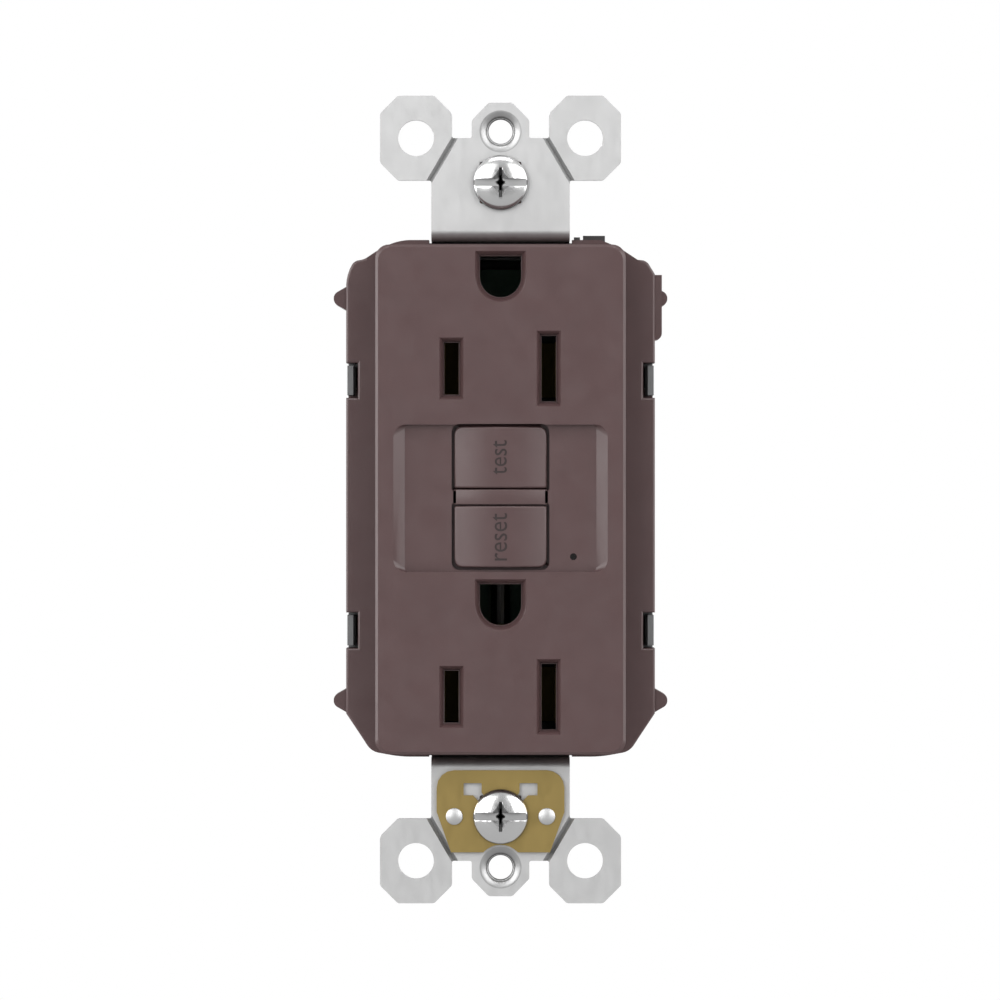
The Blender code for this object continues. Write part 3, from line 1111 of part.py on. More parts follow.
make_front_cover()
make_button_bar()
make_mounting_strap()
make_ground_clip()
make_mounting_screws()
make_test_button()
make_reset_button()
make_springs()
make_latch_block()
make_latch_plate()
make_contact_arms()
make_test_blade()
make_contact_strips()
make_line_terminals()
make_ground_contacts()
for terminal in TERMINALS:
    make_terminal(*terminal)
make_solenoid()
make_transformers()
make_electronics()
make_separator()
make_rear_housing()
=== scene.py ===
"""Looks of a duplex ground-fault outlet: finishes, soft edges, small forms, lettering, camera and light.

The CAD's frame: the face looks along -Y, +Z is up, and y = 0 is the back plane
of the strap's ears. Shapes are worked out in millimetres and built in metres;
finishes, lamps and the camera are in metres.
"""
import json
import math

import bmesh
import bpy
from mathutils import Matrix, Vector


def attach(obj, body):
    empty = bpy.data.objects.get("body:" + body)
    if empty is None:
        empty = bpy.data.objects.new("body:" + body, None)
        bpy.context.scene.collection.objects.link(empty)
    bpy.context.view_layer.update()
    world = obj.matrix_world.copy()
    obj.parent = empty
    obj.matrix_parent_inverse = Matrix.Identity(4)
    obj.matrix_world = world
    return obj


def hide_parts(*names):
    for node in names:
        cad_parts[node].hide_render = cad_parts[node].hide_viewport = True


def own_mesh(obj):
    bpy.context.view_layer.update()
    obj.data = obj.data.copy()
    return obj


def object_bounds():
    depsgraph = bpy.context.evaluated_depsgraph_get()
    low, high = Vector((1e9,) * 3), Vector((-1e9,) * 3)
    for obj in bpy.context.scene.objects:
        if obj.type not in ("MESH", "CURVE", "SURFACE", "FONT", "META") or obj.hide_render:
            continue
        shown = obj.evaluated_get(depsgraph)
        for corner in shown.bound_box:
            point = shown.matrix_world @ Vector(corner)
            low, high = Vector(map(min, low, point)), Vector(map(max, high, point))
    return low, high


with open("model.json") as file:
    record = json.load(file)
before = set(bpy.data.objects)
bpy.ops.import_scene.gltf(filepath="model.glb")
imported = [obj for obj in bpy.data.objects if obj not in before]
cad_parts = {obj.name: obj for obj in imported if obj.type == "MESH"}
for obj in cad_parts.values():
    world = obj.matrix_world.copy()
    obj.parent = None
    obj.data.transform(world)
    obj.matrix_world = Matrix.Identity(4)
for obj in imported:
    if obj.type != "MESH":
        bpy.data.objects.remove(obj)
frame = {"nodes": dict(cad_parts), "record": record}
CAD_LOW, CAD_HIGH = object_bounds()
NODES = frame["nodes"]
MM = 0.001
BODY_OF = {node: body for body, nodes in frame["record"]["behaviour"]["bodies"].items() for node in nodes}
SLOT_OF = {row["node"]: row["material_slot"] for row in frame["record"]["subparts"]}


# ------------------------------------------------------------------ materials
class Paint:
    """A Principled material whose nodes are added one by one."""

    def __init__(self, name, colour, rough, metal=0.0, **inputs):
        self.made = bpy.data.materials.new(name)
        self.made.use_nodes = True
        self.tree = self.made.node_tree
        self.shader = self.tree.nodes["Principled BSDF"]
        self.shader.inputs["Base Color"].default_value = (*colour, 1.0)
        self.shader.inputs["Roughness"].default_value = rough
        self.shader.inputs["Metallic"].default_value = metal
        for socket, value in inputs.items():
            self.shader.inputs[socket.replace("_", " ")].default_value = value
        self.colour = colour
        self.place = self.node("ShaderNodeTexCoord").outputs["Object"]
        self.height = None

    def node(self, kind, **settings):
        made = self.tree.nodes.new(kind)
        for name, value in settings.items():
            if name in made.inputs:
                made.inputs[name].default_value = value
            else:
                setattr(made, name, value)
        return made

    def link(self, output, target):
        self.tree.links.new(output, target)

    def stretched(self, scale):
        """Object coordinates, scaled by its own factor along each axis."""
        mapping = self.node("ShaderNodeMapping")
        mapping.inputs["Scale"].default_value = scale
        self.link(self.place, mapping.inputs["Vector"])
        return mapping.outputs["Vector"]

    def noise(self, size, detail=3.0, stretch=(1, 1, 1)):
        """Noise whose features are about size metres wide."""
        made = self.node("ShaderNodeTexNoise")
        made.inputs["Scale"].default_value = 1.0 / size
        made.inputs["Detail"].default_value = detail
        self.link(self.stretched(stretch), made.inputs["Vector"])
        return made.outputs["Fac"]

    def spread(self, value, low, high):
        """Map noise, which lies mostly between 0.3 and 0.7, to a range."""
        made = self.node("ShaderNodeMapRange")
        for name, number in (("From Min", 0.3), ("From Max", 0.7), ("To Min", low), ("To Max", high)):
            made.inputs[name].default_value = number
        self.link(value, made.inputs["Value"])
        return made.outputs["Result"]

    def mottle(self, size, amount):
        """Vary the base colour's value a little from place to place."""
        made = self.node("ShaderNodeMix", data_type="RGBA")
        self.link(self.spread(self.noise(size), 0.0, 1.0), made.inputs["Factor"])
        made.inputs["A"].default_value = (*[value * (1 - amount) for value in self.colour], 1.0)
        made.inputs["B"].default_value = (*[min(1.0, value * (1 + amount)) for value in self.colour], 1.0)
        self.link(made.outputs["Result"], self.shader.inputs["Base Color"])
        return self

    def uneven_gloss(self, size, low, high, stretch=(1, 1, 1)):
        """Let the roughness wander between two values."""
        self.link(self.spread(self.noise(size, 3.0, stretch), low, high), self.shader.inputs["Roughness"])
        return self

    def relief(self, value, depth, strength=1.0):
        """Add a bump of a given depth in metres; several calls stack."""
        made = self.node("ShaderNodeBump")
        made.inputs["Distance"].default_value = depth
        made.inputs["Strength"].default_value = strength
        self.link(value, made.inputs["Height"])
        if self.height:
            self.link(self.height, made.inputs["Normal"])
        self.height = made.outputs["Normal"]
        self.link(self.height, self.shader.inputs["Normal"])
        return self


def srgb(code):
    """Linear colour from a six-digit sRGB code."""
    values = [int(code[index:index + 2], 16) / 255 for index in (0, 2, 4)]
    return tuple(v / 12.92 if v <= 0.04045 else ((v + 0.055) / 1.055) ** 2.4 for v in values)


def moulded(name, colour, rough):
    """Moulded thermoplastic with a fine spark-eroded texture."""
    paint = Paint(name, colour, rough, IOR=1.5)
    paint.mottle(4.0 * MM, 0.035).uneven_gloss(2.5 * MM, rough - 0.05, rough + 0.05)
    paint.relief(paint.noise(7.0 * MM, 2.0), 0.02 * MM, 0.35)
    return paint.relief(paint.noise(0.16 * MM, 2.0), 0.006 * MM, 0.5)


def plated(name, colour, rough):
    """Plated metal with faint rolling marks and small scuffs."""
    rolled = (1.0, 1.0, 0.4)
    paint = Paint(name, colour, rough, 1.0)
    paint.mottle(5.0 * MM, 0.03).uneven_gloss(0.8 * MM, rough - 0.03, rough + 0.03, rolled)
    paint.relief(paint.noise(9.0 * MM, 1.0), 0.006 * MM, 0.2)
    return paint.relief(paint.noise(0.2 * MM, 3.0, rolled), 0.001 * MM, 0.4)


def wound(name, colour, pitch, axis):
    """Turns of enamelled wire, as fine ridges across an axis."""
    bands_per_unit = 3.18  # of the wave texture at a scale of 1
    paint = Paint(name, colour, 0.32, 0.85)
    wave = paint.node("ShaderNodeTexWave", bands_direction=axis)
    wave.inputs["Scale"].default_value = 1.0 / pitch / bands_per_unit
    paint.link(paint.place, wave.inputs["Vector"])
    return paint.mottle(1.5 * MM, 0.15).relief(wave.outputs["Fac"], 0.05 * MM)


PAINTS = {
    "cover_brown": moulded("cover_plastic", srgb("483636"), 0.34),
    "housing_grey": moulded("housing_plastic", srgb("5f5f60"), 0.45),
    "zinc": plated("zinc_plate", srgb("c4c4c4"), 0.46),
    "screw_steel": plated("screw_plate", srgb("d8d8d8"), 0.2),
    "brass": plated("brass_sheet", srgb("a8925c"), 0.36),
    "nickel": plated("nickel_plate", srgb("cfcac2"), 0.28),
    "green_steel": plated("green_plate", srgb("2f8a4a"), 0.3),
    "spring_steel": plated("spring_wire", srgb("b8b8bb"), 0.3),
    "copper": wound("copper_wire", srgb("b06a3c"), 0.25 * MM, "Z"),
    "board_green": moulded("board_mask", srgb("1d6b3c"), 0.4),
    "black_plastic": moulded("black_phenolic", srgb("242323"), 0.5),
    "cream_plastic": moulded("cream_nylon", srgb("cbbf9c"), 0.5),
    "blue_coat": moulded("blue_epoxy", srgb("23408c"), 0.3),
    "fibre": moulded("red_fibre", srgb("8b5a44"), 0.8),
}
clear = Paint("clear_acrylic", srgb("8c7a7a"), 0.12, Transmission_Weight=0.9, IOR=1.49)
PAINTS["clear_plastic"] = clear.mottle(1.0 * MM, 0.02).relief(clear.noise(2.0 * MM), 0.01 * MM, 0.3)
# painted shade: the engraved letters take a dark colour that stands for the shade inside them
ENGRAVING_SHADE = moulded("letter_shade", srgb("2c2222"), 0.6)
# painted shade: a darker zinc in the strap's score lines and in the screw heads' slots and flares
GROOVE_AND_SLOT_SHADE = plated("groove_and_slot_shade_zinc", srgb("a2a2a2"), 0.5)
# painted shade: a darker zinc in the hollow dish round each plate hole
DISH_SHADE = plated("dish_shade_zinc", srgb("a6a6a6"), 0.4)
# painted shade: a dark steel on the plate holes' threads and round the rim of each screw head, as a dark
# outline
THREAD_AND_RIM_SHADE = plated("thread_and_rim_shade_steel", srgb("6c6c6c"), 0.5)
# painted shade: a darker brass for the contacts, which are seen only deep behind the slots
CONTACT_SHADE = plated("contact_shade_brass", srgb("6b5c3c"), 0.6)
# painted shade: a dark zinc on the strap's tabs beside its upper end, which sit in shadow behind the skirt
TAB_SHADE = plated("tab_shade_zinc", srgb("4a4848"), 0.5)
# painted shade: a dark steel in the cross recess of each screw head
CROSS_SHADE = plated("cross_shade_steel", srgb("6e6e6e"), 0.6)


# ------------------------------------------------------------------ mesh helpers
def to_object(name, made):
    """Link a bmesh to the scene as an object with its faces turned outwards."""
    mesh = bpy.data.meshes.new(name)
    bmesh.ops.recalc_face_normals(made, faces=made.faces)
    made.to_mesh(mesh)
    made.free()
    piece = bpy.data.objects.new(name, mesh)
    bpy.context.scene.collection.objects.link(piece)
    return piece


def from_faces(name, points, faces):
    """An object from points in millimetres and faces by their indices."""
    mesh = bpy.data.meshes.new(name)
    mesh.from_pydata([Vector(point) * MM for point in points], [], faces)
    made = bmesh.new()
    made.from_mesh(mesh)
    bpy.data.meshes.remove(mesh)
    return to_object(name, made)


def between_rings(levels, count):
    """Faces of four corners between neighbouring rings of points."""
    faces = []
    for base in range(0, (levels - 1) * count, count):
        for index in range(count):
            after = (index + 1) % count
            faces.append((base + index, base + after, base + count + after, base + count + index))
    return faces


def rings(name, levels):
    """A closed solid through rings of equally many points; the ends are capped."""
    count = len(levels[0])
    points = [point for level in levels for point in level]
    caps = [tuple(range(count)), tuple(range(len(points) - count, len(points)))]
    return from_faces(name, points, caps + between_rings(len(levels), count))


def prism_y(name, outline, front, back):
    """An outline in X and Z, carried from one depth to another."""
    return rings(name, [[(x, depth, z) for x, z in outline] for depth in (front, back)])


def prism_x(name, outline, half_x):
    """An outline in Y and Z, carried across the part."""
    return rings(name, [[(x, y, z) for y, z in outline] for x in (-half_x, half_x)])


def box(name, low, high):
    """A block between two corners."""
    outline = [(low[0], low[2]), (high[0], low[2]), (high[0], high[2]), (low[0], high[2])]
    return prism_y(name, outline, low[1], high[1])


def lathe(name, profile, centre, count=64):
    """A profile of (radius, depth) pairs turned about an axis along Y."""
    turns = [2 * math.pi * index / count for index in range(count)]
    return rings(name, [[(centre[0] + r * math.cos(a), y, centre[1] + r * math.sin(a)) for a in turns]
                        for r, y in profile])


def carve(piece, *cutters, operation="DIFFERENCE"):
    """Apply booleans one after another, and drop the cutters; one with a finish leaves it on its cut."""
    for cutter in cutters:
        step = piece.modifiers.new("carve", "BOOLEAN")
        step.operation = operation
        step.solver = "MANIFOLD"
        step.object = cutter
        if cutter.data.materials:
            step.solver = "EXACT"
            step.material_mode = "TRANSFER"
        made = bpy.data.meshes.new_from_object(piece.evaluated_get(bpy.context.evaluated_depsgraph_get()))
        piece.modifiers.clear()
        old = piece.data
        piece.data = made
        bpy.data.meshes.remove(old)
        mesh = cutter.data
        bpy.data.objects.remove(cutter)
        bpy.data.meshes.remove(mesh)
    return piece


def soften(piece, width, angle=32):
    """Round every edge sharper than an angle, and keep the flat faces flat."""
    bevel = piece.modifiers.new("edges", "BEVEL")
    bevel.width = width * MM
    bevel.segments = 2
    bevel.limit_method = "ANGLE"
    bevel.angle_limit = math.radians(angle)
    bevel.miter_outer = "MITER_ARC"
    normals = piece.modifiers.new("normals", "WEIGHTED_NORMAL")
    normals.keep_sharp = True
    normals.weight = 100
    piece.data.shade_smooth()
    return piece


def soften_outside(piece, width, angle=32):
    """Round only the edges that stand out, so that nothing is added to hollow corners."""
    made = bmesh.new()
    made.from_mesh(piece.data)
    weight = made.edges.layers.float.new("bevel_weight_edge")
    for edge in made.edges:
        folded = len(edge.link_faces) == 2 and edge.calc_face_angle(0) > math.radians(angle)
        edge[weight] = float(folded and edge.is_convex)
    made.to_mesh(piece.data)
    made.free()
    soften(piece, width).modifiers["edges"].limit_method = "WEIGHT"
    return piece


def dress(piece, slot, body):
    """Give a piece its slot, that slot's finish if it has none yet, and the body it rides on."""
    if not any(piece.data.materials):
        piece.data.materials.clear()
        piece.data.materials.append(PAINTS[slot].made)
    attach(piece, body)
    return piece


def stands_for(piece, node):
    """Dress a piece as the CAD node that it is shown instead of."""
    dress(piece, SLOT_OF[node], BODY_OF[node])
    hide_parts(node)
    return piece


def clean(made):
    """Join the split corners of a CAD mesh and make its flat faces whole."""
    bmesh.ops.remove_doubles(made, verts=made.verts, dist=0.001 * MM)
    bmesh.ops.dissolve_limit(made, angle_limit=math.radians(0.5), verts=made.verts, edges=made.edges)


def copied(node, *rounds):
    """A copy of a CAD node's mesh; each round is (test of an edge's two ends in mm, radius)."""
    made = bmesh.new()
    made.from_mesh(NODES[node].data)
    clean(made)
    for test, radius in rounds:
        picked = []
        for edge in made.edges:
            sharp = len(edge.link_faces) == 2 and edge.calc_face_angle(0) > math.radians(6)
            if sharp and test(*(vert.co / MM for vert in edge.verts)):
                picked.append(edge)
        bmesh.ops.bevel(made, geom=picked, offset=radius * MM, segments=4, profile=0.5, affect="EDGES",
                        clamp_overlap=False)
    return to_object(node + "_shell", made)


def tint(piece, paint, test):
    """Give the faces whose middle passes a test a second finish."""
    piece.data.materials.append(paint.made)
    index = len(piece.data.materials) - 1
    for face in piece.data.polygons:
        if test(face.center / MM, face.normal):
            face.material_index = index


def split_at(piece, height):
    """Cut every face of a piece along a level, so that a finish can end there."""
    made = bmesh.new()
    made.from_mesh(piece.data)
    every = made.verts[:] + made.edges[:] + made.faces[:]
    bmesh.ops.bisect_plane(made, geom=every, plane_co=(0, 0, height * MM), plane_no=(0, 0, 1))
    made.to_mesh(piece.data)
    made.free()


def along_depth(one, other):
    """Whether the line between two points runs along Y."""
    return abs((other - one).normalized().y) > 0.999


# --------------------------------------------------------------------- front cover
# radius of the skirt's outer edge at each corner (x, z) of its outline that is rounded
SKIRT_CORNERS = {(-13.2, 34.2): 1.2, (-15.65, 33.2): 1.1, (-18.05, 31.6): 0.58, (-19.25, 31.5): 0.58,
                 (-20.35, 29.7): 1.4, (19.25, 31.5): 0.58, (-13.2, -33.9): 1.2, (13.2, -33.9): 1.2,
                 (-17.05, -33.2): 0.9, (17.05, -33.2): 0.9}
OUTLET_Z = {"upper": 17.15, "lower": -25.85}
SLOT_HALF_X = 0.94
# where each slot lies across the face, and half its length
SLOTS = {"left": (-6.42, 3.4), "right": (6.32, 4.3)}
GROUND_R = 2.7
GROUND_RISE = 12.05
# how far a lead-in stands outside its opening, from in front of the face (y = -6.4) inwards
LEAD_IN = ((0.7, -6.7), (0.66, -6.6), (0.3, -6.15), (0.08, -5.1))
# the joint between the skirt and the rear housing
JOINT_FRONT, JOINT_BACK = 9.15, 9.75
RIB_X = (15.2, 19.1)
RIB_LOW = -14.9
RIB_HIGH = {-1: 14.9, 1: 29.0}
STOP_WIDTH = 1.1
STOP_Z = (13.0, 14.65)


def at_corner(x, z):
    """Test for the skirt's outer edge along Y at one corner of its outline."""
    def test(one, other):
        near = abs(one.x - x) < 0.03 and abs(one.z - z) < 0.03
        return near and along_depth(one, other) and min(one.y, other.y) < 1.3
    return test


def nib_corner(one, other):
    """Test for the edges along Y at the tips of the four side nibs."""
    tip = abs(one.x) > 21.4 and abs(abs(one.z) - 26.5) < 2.0
    return along_depth(one, other) and min(one.y, other.y) > 0.5 and tip


def skirt_rim(one, other):
    """Test for the front edge of the skirt's sides, between its notches."""
    return all(abs(point.y - 0.8) < 0.02 and abs(point.x) > 17.0 for point in (one, other))


def slot_lead(name, x, half_z, middle):
    """A steep, deep lead-in for a blade slot."""
    def outline(grow, depth):
        half = SLOT_HALF_X + grow
        signs = ((-1, -1), (1, -1), (1, 1), (-1, 1))
        return [(x + a * half, depth, middle + b * (half_z + grow)) for a, b in signs]
    return rings(name, [outline(*step) for step in LEAD_IN])


def ground_lead(name, middle):
    """The same for a ground opening, which is round below and flat above."""
    def outline(grow, depth):
        r = GROUND_R + grow
        turns = [math.radians(180 + 180 * index / 24) for index in range(25)]
        points = [(r * math.cos(a), depth, middle + r * math.sin(a)) for a in turns]
        return points + [(r, depth, middle + GROUND_R + grow), (-r, depth, middle + GROUND_R + grow)]
    return rings(name, [outline(*step) for step in LEAD_IN])


def close_joint():
    """Ribs and stops behind the skirt; without them a slanting look into a slot passes through the part."""
    for side, sign in (("left", -1), ("right", 1)):
        low, high = sorted(sign * x for x in RIB_X)
        rib = box(f"front_cover_rib_{side}", (low, JOINT_FRONT, RIB_LOW),
                  (high, JOINT_BACK, RIB_HIGH[sign]))
        dress(rib, "cover_brown", BODY_OF["front_cover"])
    # beside the upper hooks the skirt's notches leave a gap past the ribs' outer ends
    for side, low in (("left", -RIB_X[1] - STOP_WIDTH), ("right", RIB_X[1])):
        stop = box(f"front_cover_stop_{side}", (low, JOINT_FRONT, STOP_Z[0]),
                   (low + STOP_WIDTH, JOINT_BACK, STOP_Z[1]))
        dress(stop, "cover_brown", BODY_OF["front_cover"])


def make_cover():
    """The cover with rounded skirt corners and with lead-ins at its openings."""
    corners = [(at_corner(x, z), radius) for (x, z), radius in SKIRT_CORNERS.items()]
    cover = copied("front_cover", *corners, (nib_corner, 0.5), (skirt_rim, 0.3))
    cutters = []
    for place, middle in OUTLET_Z.items():
        cutters += [slot_lead(f"{side}_{place}", x, half_z, middle) for side, (x, half_z) in SLOTS.items()]
        cutters.append(ground_lead("ground_" + place, middle + GROUND_RISE))
    carve(cover, *cutters)
    close_joint()
    stands_for(soften(cover, 0.12), "front_cover")


# ------------------------------------------------------------------------- buttons
BUTTON_HALF_X = 6.06
BUTTON_Y = -6.44
CROWN = 0.8
CROWN_STEPS = 30
EDGE_STEPS = 4
LETTER_DEEP = 0.14
LETTER_THICK = 0.5
LETTER_STRETCH = 1.15
LETTER_SHIFT = 0.1
# the flat front of the CAD's cap is cut away to here, and the crown reaches a little behind the cut
CAP_CUT_Y, CAP_BACK_Y = -5.33, -5.22
CAP_EDGE = 0.24
CAP_GROW = -0.01
BAR_LOW, BAR_HIGH, BAR_BACK_Y = -0.505, 1.15, -5.7
BAR_EDGE = 0.12
BAR_GROW = 0.15
# low and high end, corner radius at each, and the word with its length and its middle
BUTTONS = {"test_button": (1.5, 9.55, 0.25, 1.05, "test", 4.5, 5.5),
           "reset_button": (-8.905, -0.855, 1.05, 0.25, "reset", 6.2, -4.9)}


def crown_y(x):
    """Depth of the buttons' crowned front at x."""
    return BUTTON_Y + CROWN * (x / BUTTON_HALF_X) ** 2


def corner_drop(x, half, radius):
    """How far a rounded outline lies inside its straight edge at x."""
    into = abs(x) - (half - radius)
    return radius - math.sqrt(max(radius ** 2 - into ** 2, 0)) if into > 0 else 0.0


def crowned(name, low, high, radius_low, radius_high, edge, back, grow):
    """A block with a crowned front and rounded edges, whose outline grows a little beyond the button's."""
    evenly = [index / CROWN_STEPS - 1 for index in range(2 * CROWN_STEPS + 1)]
    # a little closer together at the corners
    samples = [0.7 * value + 0.3 * math.sin(math.pi / 2 * value) for value in evenly]
    levels = []
    for step in range(EDGE_STEPS + 1):
        inset = edge * (1 - math.sin(math.pi / 2 * step / EDGE_STEPS)) - grow
        drop = edge * (1 - math.cos(math.pi / 2 * step / EDGE_STEPS))
        half = BUTTON_HALF_X - inset
        top_r, low_r = max(radius_high - inset, 0.05), max(radius_low - inset, 0.05)
        top = [(half * s, high - inset - corner_drop(half * s, half, top_r)) for s in samples]
        bottom = [(half * s, low + inset + corner_drop(half * s, half, low_r)) for s in reversed(samples)]
        levels.append([(x, crown_y(x) + drop, z) for x, z in top + bottom])
    levels.append([(x, back, z) for x, _, z in levels[-1]])
    count = len(levels[0])
    points = [point for level in levels for point in level]
    faces = between_rings(len(levels), count)
    for base in (0, len(points) - count):
        end = base + count - 1
        faces += [(base + i, base + i + 1, end - 1 - i, end - i) for i in range(2 * CROWN_STEPS)]
    return from_faces(name, points, faces)


def lettering(word, long, middle):
    """A cutter for a word that reads upwards, engraved in the front of a button."""
    data = bpy.data.curves.new(word, "FONT")
    data.body = word
    data.extrude = LETTER_THICK
    data.resolution_u = 4
    temporary = bpy.data.objects.new(word, data)
    bpy.context.scene.collection.objects.link(temporary)
    shape = bpy.data.meshes.new_from_object(temporary.evaluated_get(bpy.context.evaluated_depsgraph_get()))
    bpy.data.objects.remove(temporary)
    bpy.data.curves.remove(data)
    xs = [vert.co.x for vert in shape.vertices]
    ys = [vert.co.y for vert in shape.vertices]
    scale = long / (max(xs) - min(xs))
    mid_x, mid_y = (max(xs) + min(xs)) / 2, (max(ys) + min(ys)) / 2
    for vert in shape.vertices:
        along, up = (vert.co.x - mid_x) * scale, (vert.co.y - mid_y) * scale * LETTER_STRETCH
        depth = BUTTON_Y + LETTER_DEEP - LETTER_THICK - vert.co.z
        vert.co = Vector((-up - LETTER_SHIFT, depth, middle + along)) * MM
    made = bmesh.new()
    made.from_mesh(shape)
    bpy.data.meshes.remove(shape)
    bmesh.ops.remove_doubles(made, verts=made.verts, dist=0.002 * MM)
    cutter = to_object(word + "_cutter", made)
    # the cut letters take the dark colour: painted shade in the engraving
    cutter.data.materials.append(ENGRAVING_SHADE.made)
    return cutter


def crown_normal(x):
    """Outward direction of the crowned front at x."""
    return Vector((2 * CROWN * x / BUTTON_HALF_X ** 2, -1, 0)).normalized()


def shade_crown(mesh):
    """Shade the crowned front by its own curve, so that the engraving leaves it even."""
    mesh.shade_smooth()
    mesh.set_sharp_from_angle(angle=math.radians(30))
    normals = [Vector(corner.vector) for corner in mesh.corner_normals]
    for face in mesh.polygons:
        middle = face.center / MM
        if middle.y < -5.4 and face.normal.dot(crown_normal(middle.x)) > 0.99:
            for loop in face.loop_indices:
                normals[loop] = crown_normal(mesh.vertices[mesh.loops[loop].vertex_index].co.x / MM)
    mesh.normals_split_custom_set(normals)


def make_buttons():
    """The bar between the buttons and the two buttons, all with one crowned front."""
    bar = crowned("button_bar_shell", BAR_LOW, BAR_HIGH, BAR_EDGE, BAR_EDGE, BAR_EDGE, BAR_BACK_Y, BAR_GROW)
    bar.data.shade_smooth()
    bar.data.set_sharp_from_angle(angle=math.radians(30))
    stands_for(bar, "button_bar")
    for node, (low, high, radius_low, radius_high, word, long, middle) in BUTTONS.items():
        button = copied(node)
        carve(button, box(node + "_front", (-9, -8, low - 2), (9, CAP_CUT_Y, high + 2)))
        crown = crowned(node + "_crown", low, high, radius_low, radius_high, CAP_EDGE, CAP_BACK_Y, CAP_GROW)
        carve(button, crown, operation="UNION")
        button.data.materials.clear()
        button.data.materials.append(PAINTS["cover_brown"].made)
        carve(button, lettering(word, long, middle))
        shade_crown(button.data)
        stands_for(button, node)


# -------------------------------------------------------------- strap, clip, screws
STRAP_FRONT = -1.2
# ends of the score line that lets the right upper ear break off
EAR_GROOVE = ((5.86, 47.83), (9.31, 41.94))
GROOVE_HALF, GROOVE_DEEP = 0.4, 0.45
DEVICE_SCREW_Z = 41.67
PLATE_SCREW_Z = 48.42
DISH_BOTTOM_R = 1.98
TAB_ROOT = 34.03
# centre of the round between the strap's front and its step, and that of the fillet behind it
BEND_Y, BEND_Z, BEND_R = 0.2, 35.4, 1.4
FILLET_Y, FILLET_Z = 3, 33
# radius and depth along the dish, and down the thread behind it
DISH = ((3.1, -1.45), (2.76, -1.2), (2.35, -1.0), (1.95, -0.9), (1.9, -0.78), (1.72, -0.7), (1.8, -0.6),
        (1.66, -0.5), (1.74, -0.4), (1.6, -0.3), (1.575, 0.2))


def groove(name, start, end):
    """A V-shaped cutter for a score line between two points, a little longer than their distance."""
    start, end = Vector(start), Vector(end)
    along = (end - start).normalized()
    across = Vector((-along.y, along.x)) * GROOVE_HALF
    start, end = start - along * 0.5, end + along * 0.5
    above = STRAP_FRONT - GROOVE_DEEP / 4
    levels = []
    for point in (start, end):
        levels.append([(point.x + across.x * 1.25, above, point.y + across.y * 1.25),
                       (point.x - across.x * 1.25, above, point.y - across.y * 1.25),
                       (point.x, STRAP_FRONT + GROOVE_DEEP, point.y)])
    return rings(name, levels)


def notch_corner(one, other):
    """Test for the corners of the strap's outline beyond the cover."""
    return along_depth(one, other) and min(one.y, other.y) < 0.1 and abs(one.z) > 34


def on_groove(point, normal):
    """Whether a point of the strap lies in one of the four scored lines."""
    start, end = (Vector(ends) for ends in EAR_GROOVE)
    along = (end - start).normalized()
    offset = Vector((abs(point.x), abs(point.z))) - start
    beside = abs(offset.x * along.y - offset.y * along.x)
    within = -0.6 < offset.dot(along) < (end - start).length + 0.6
    return beside < 0.4 and abs(normal.y) < 0.97 and point.y < -0.3 and within


def on_thread(point, normal):
    """Whether a point of the strap lies on the tapped wall of a plate hole."""
    return math.hypot(point.x, abs(point.z) - PLATE_SCREW_Z) < DISH_BOTTOM_R and abs(normal.y) < 0.93


def on_dish(point, normal):
    """Whether a point of the strap lies in the dish round a plate hole."""
    radius = math.hypot(point.x, abs(point.z) - PLATE_SCREW_Z)
    return DISH_BOTTOM_R <= radius < 3.0 and abs(normal.y) < 0.98 and -1.19 < point.y < -0.1


def on_tab(point, _):
    """Whether a point of the strap lies on the tabs beside its upper end."""
    return 9.4 < point.x < 14.2 and point.z > TAB_ROOT and point.y > 3.5


def make_strap():
    """The strap with rounded bends, scored ears and dished, tapped plate holes."""
    strap = copied("mounting_strap", (notch_corner, 0.25))
    quarter = [math.radians(9 * step) for step in range(11)]
    bend = [(-1.4, BEND_Z)]
    bend += [(BEND_Y - BEND_R * math.cos(a), BEND_Z - BEND_R * math.sin(a)) for a in quarter]
    bend += [(0.3, 33.9), (-1.4, 33.9)]
    fillet = [(4.2, 34.2), (2.9, 34.2)]
    fillet += [(FILLET_Y + math.sin(a), FILLET_Z + math.cos(a)) for a in quarter]
    fillet.append((4.2, 33.0))
    cutters = []
    for end in (1, -1):
        cutters.append(prism_x(f"bend_{end}", [(y, end * z) for y, z in bend], 9.3))
        carve(strap, prism_x(f"fillet_{end}", [(y, end * z) for y, z in fillet], 9.1), operation="UNION")
        cutters.append(lathe(f"dish_{end}", DISH, (0, end * PLATE_SCREW_Z), 48))
        for side in (1, -1):
            ends = [(side * x, end * z) for x, z in EAR_GROOVE]
            cutters.append(groove(f"groove_{end}_{side}", *ends))
    carve(strap, *cutters)
    # the painted shade on the tabs ends at this level
    split_at(strap, TAB_ROOT)
    stands_for(strap, "mounting_strap")
    # painted shade in the score lines
    tint(strap, GROOVE_AND_SLOT_SHADE, on_groove)
    # painted shade on the threads of the plate holes
    tint(strap, THREAD_AND_RIM_SHADE, on_thread)
    # painted shade in the dishes
    tint(strap, DISH_SHADE, on_dish)
    # painted shade on the tabs
    tint(strap, TAB_SHADE, on_tab)
    soften(strap, 0.06, angle=40)


# outline of the opening between the clip's screw hole and each of its slots
CLIP_LINK = ((1.9, -39.4), (2.6, -40.0), (3.9, -38.6), (2.7, -38.2))
# radius and depth of the strap's stakes, and how far they lie from the middle
STAKE = ((1.02, -1.75), (1.12, -2.0), (1.12, -2.12), (1.05, -2.19), (0.05, -2.2))
STAKE_X = 6.08


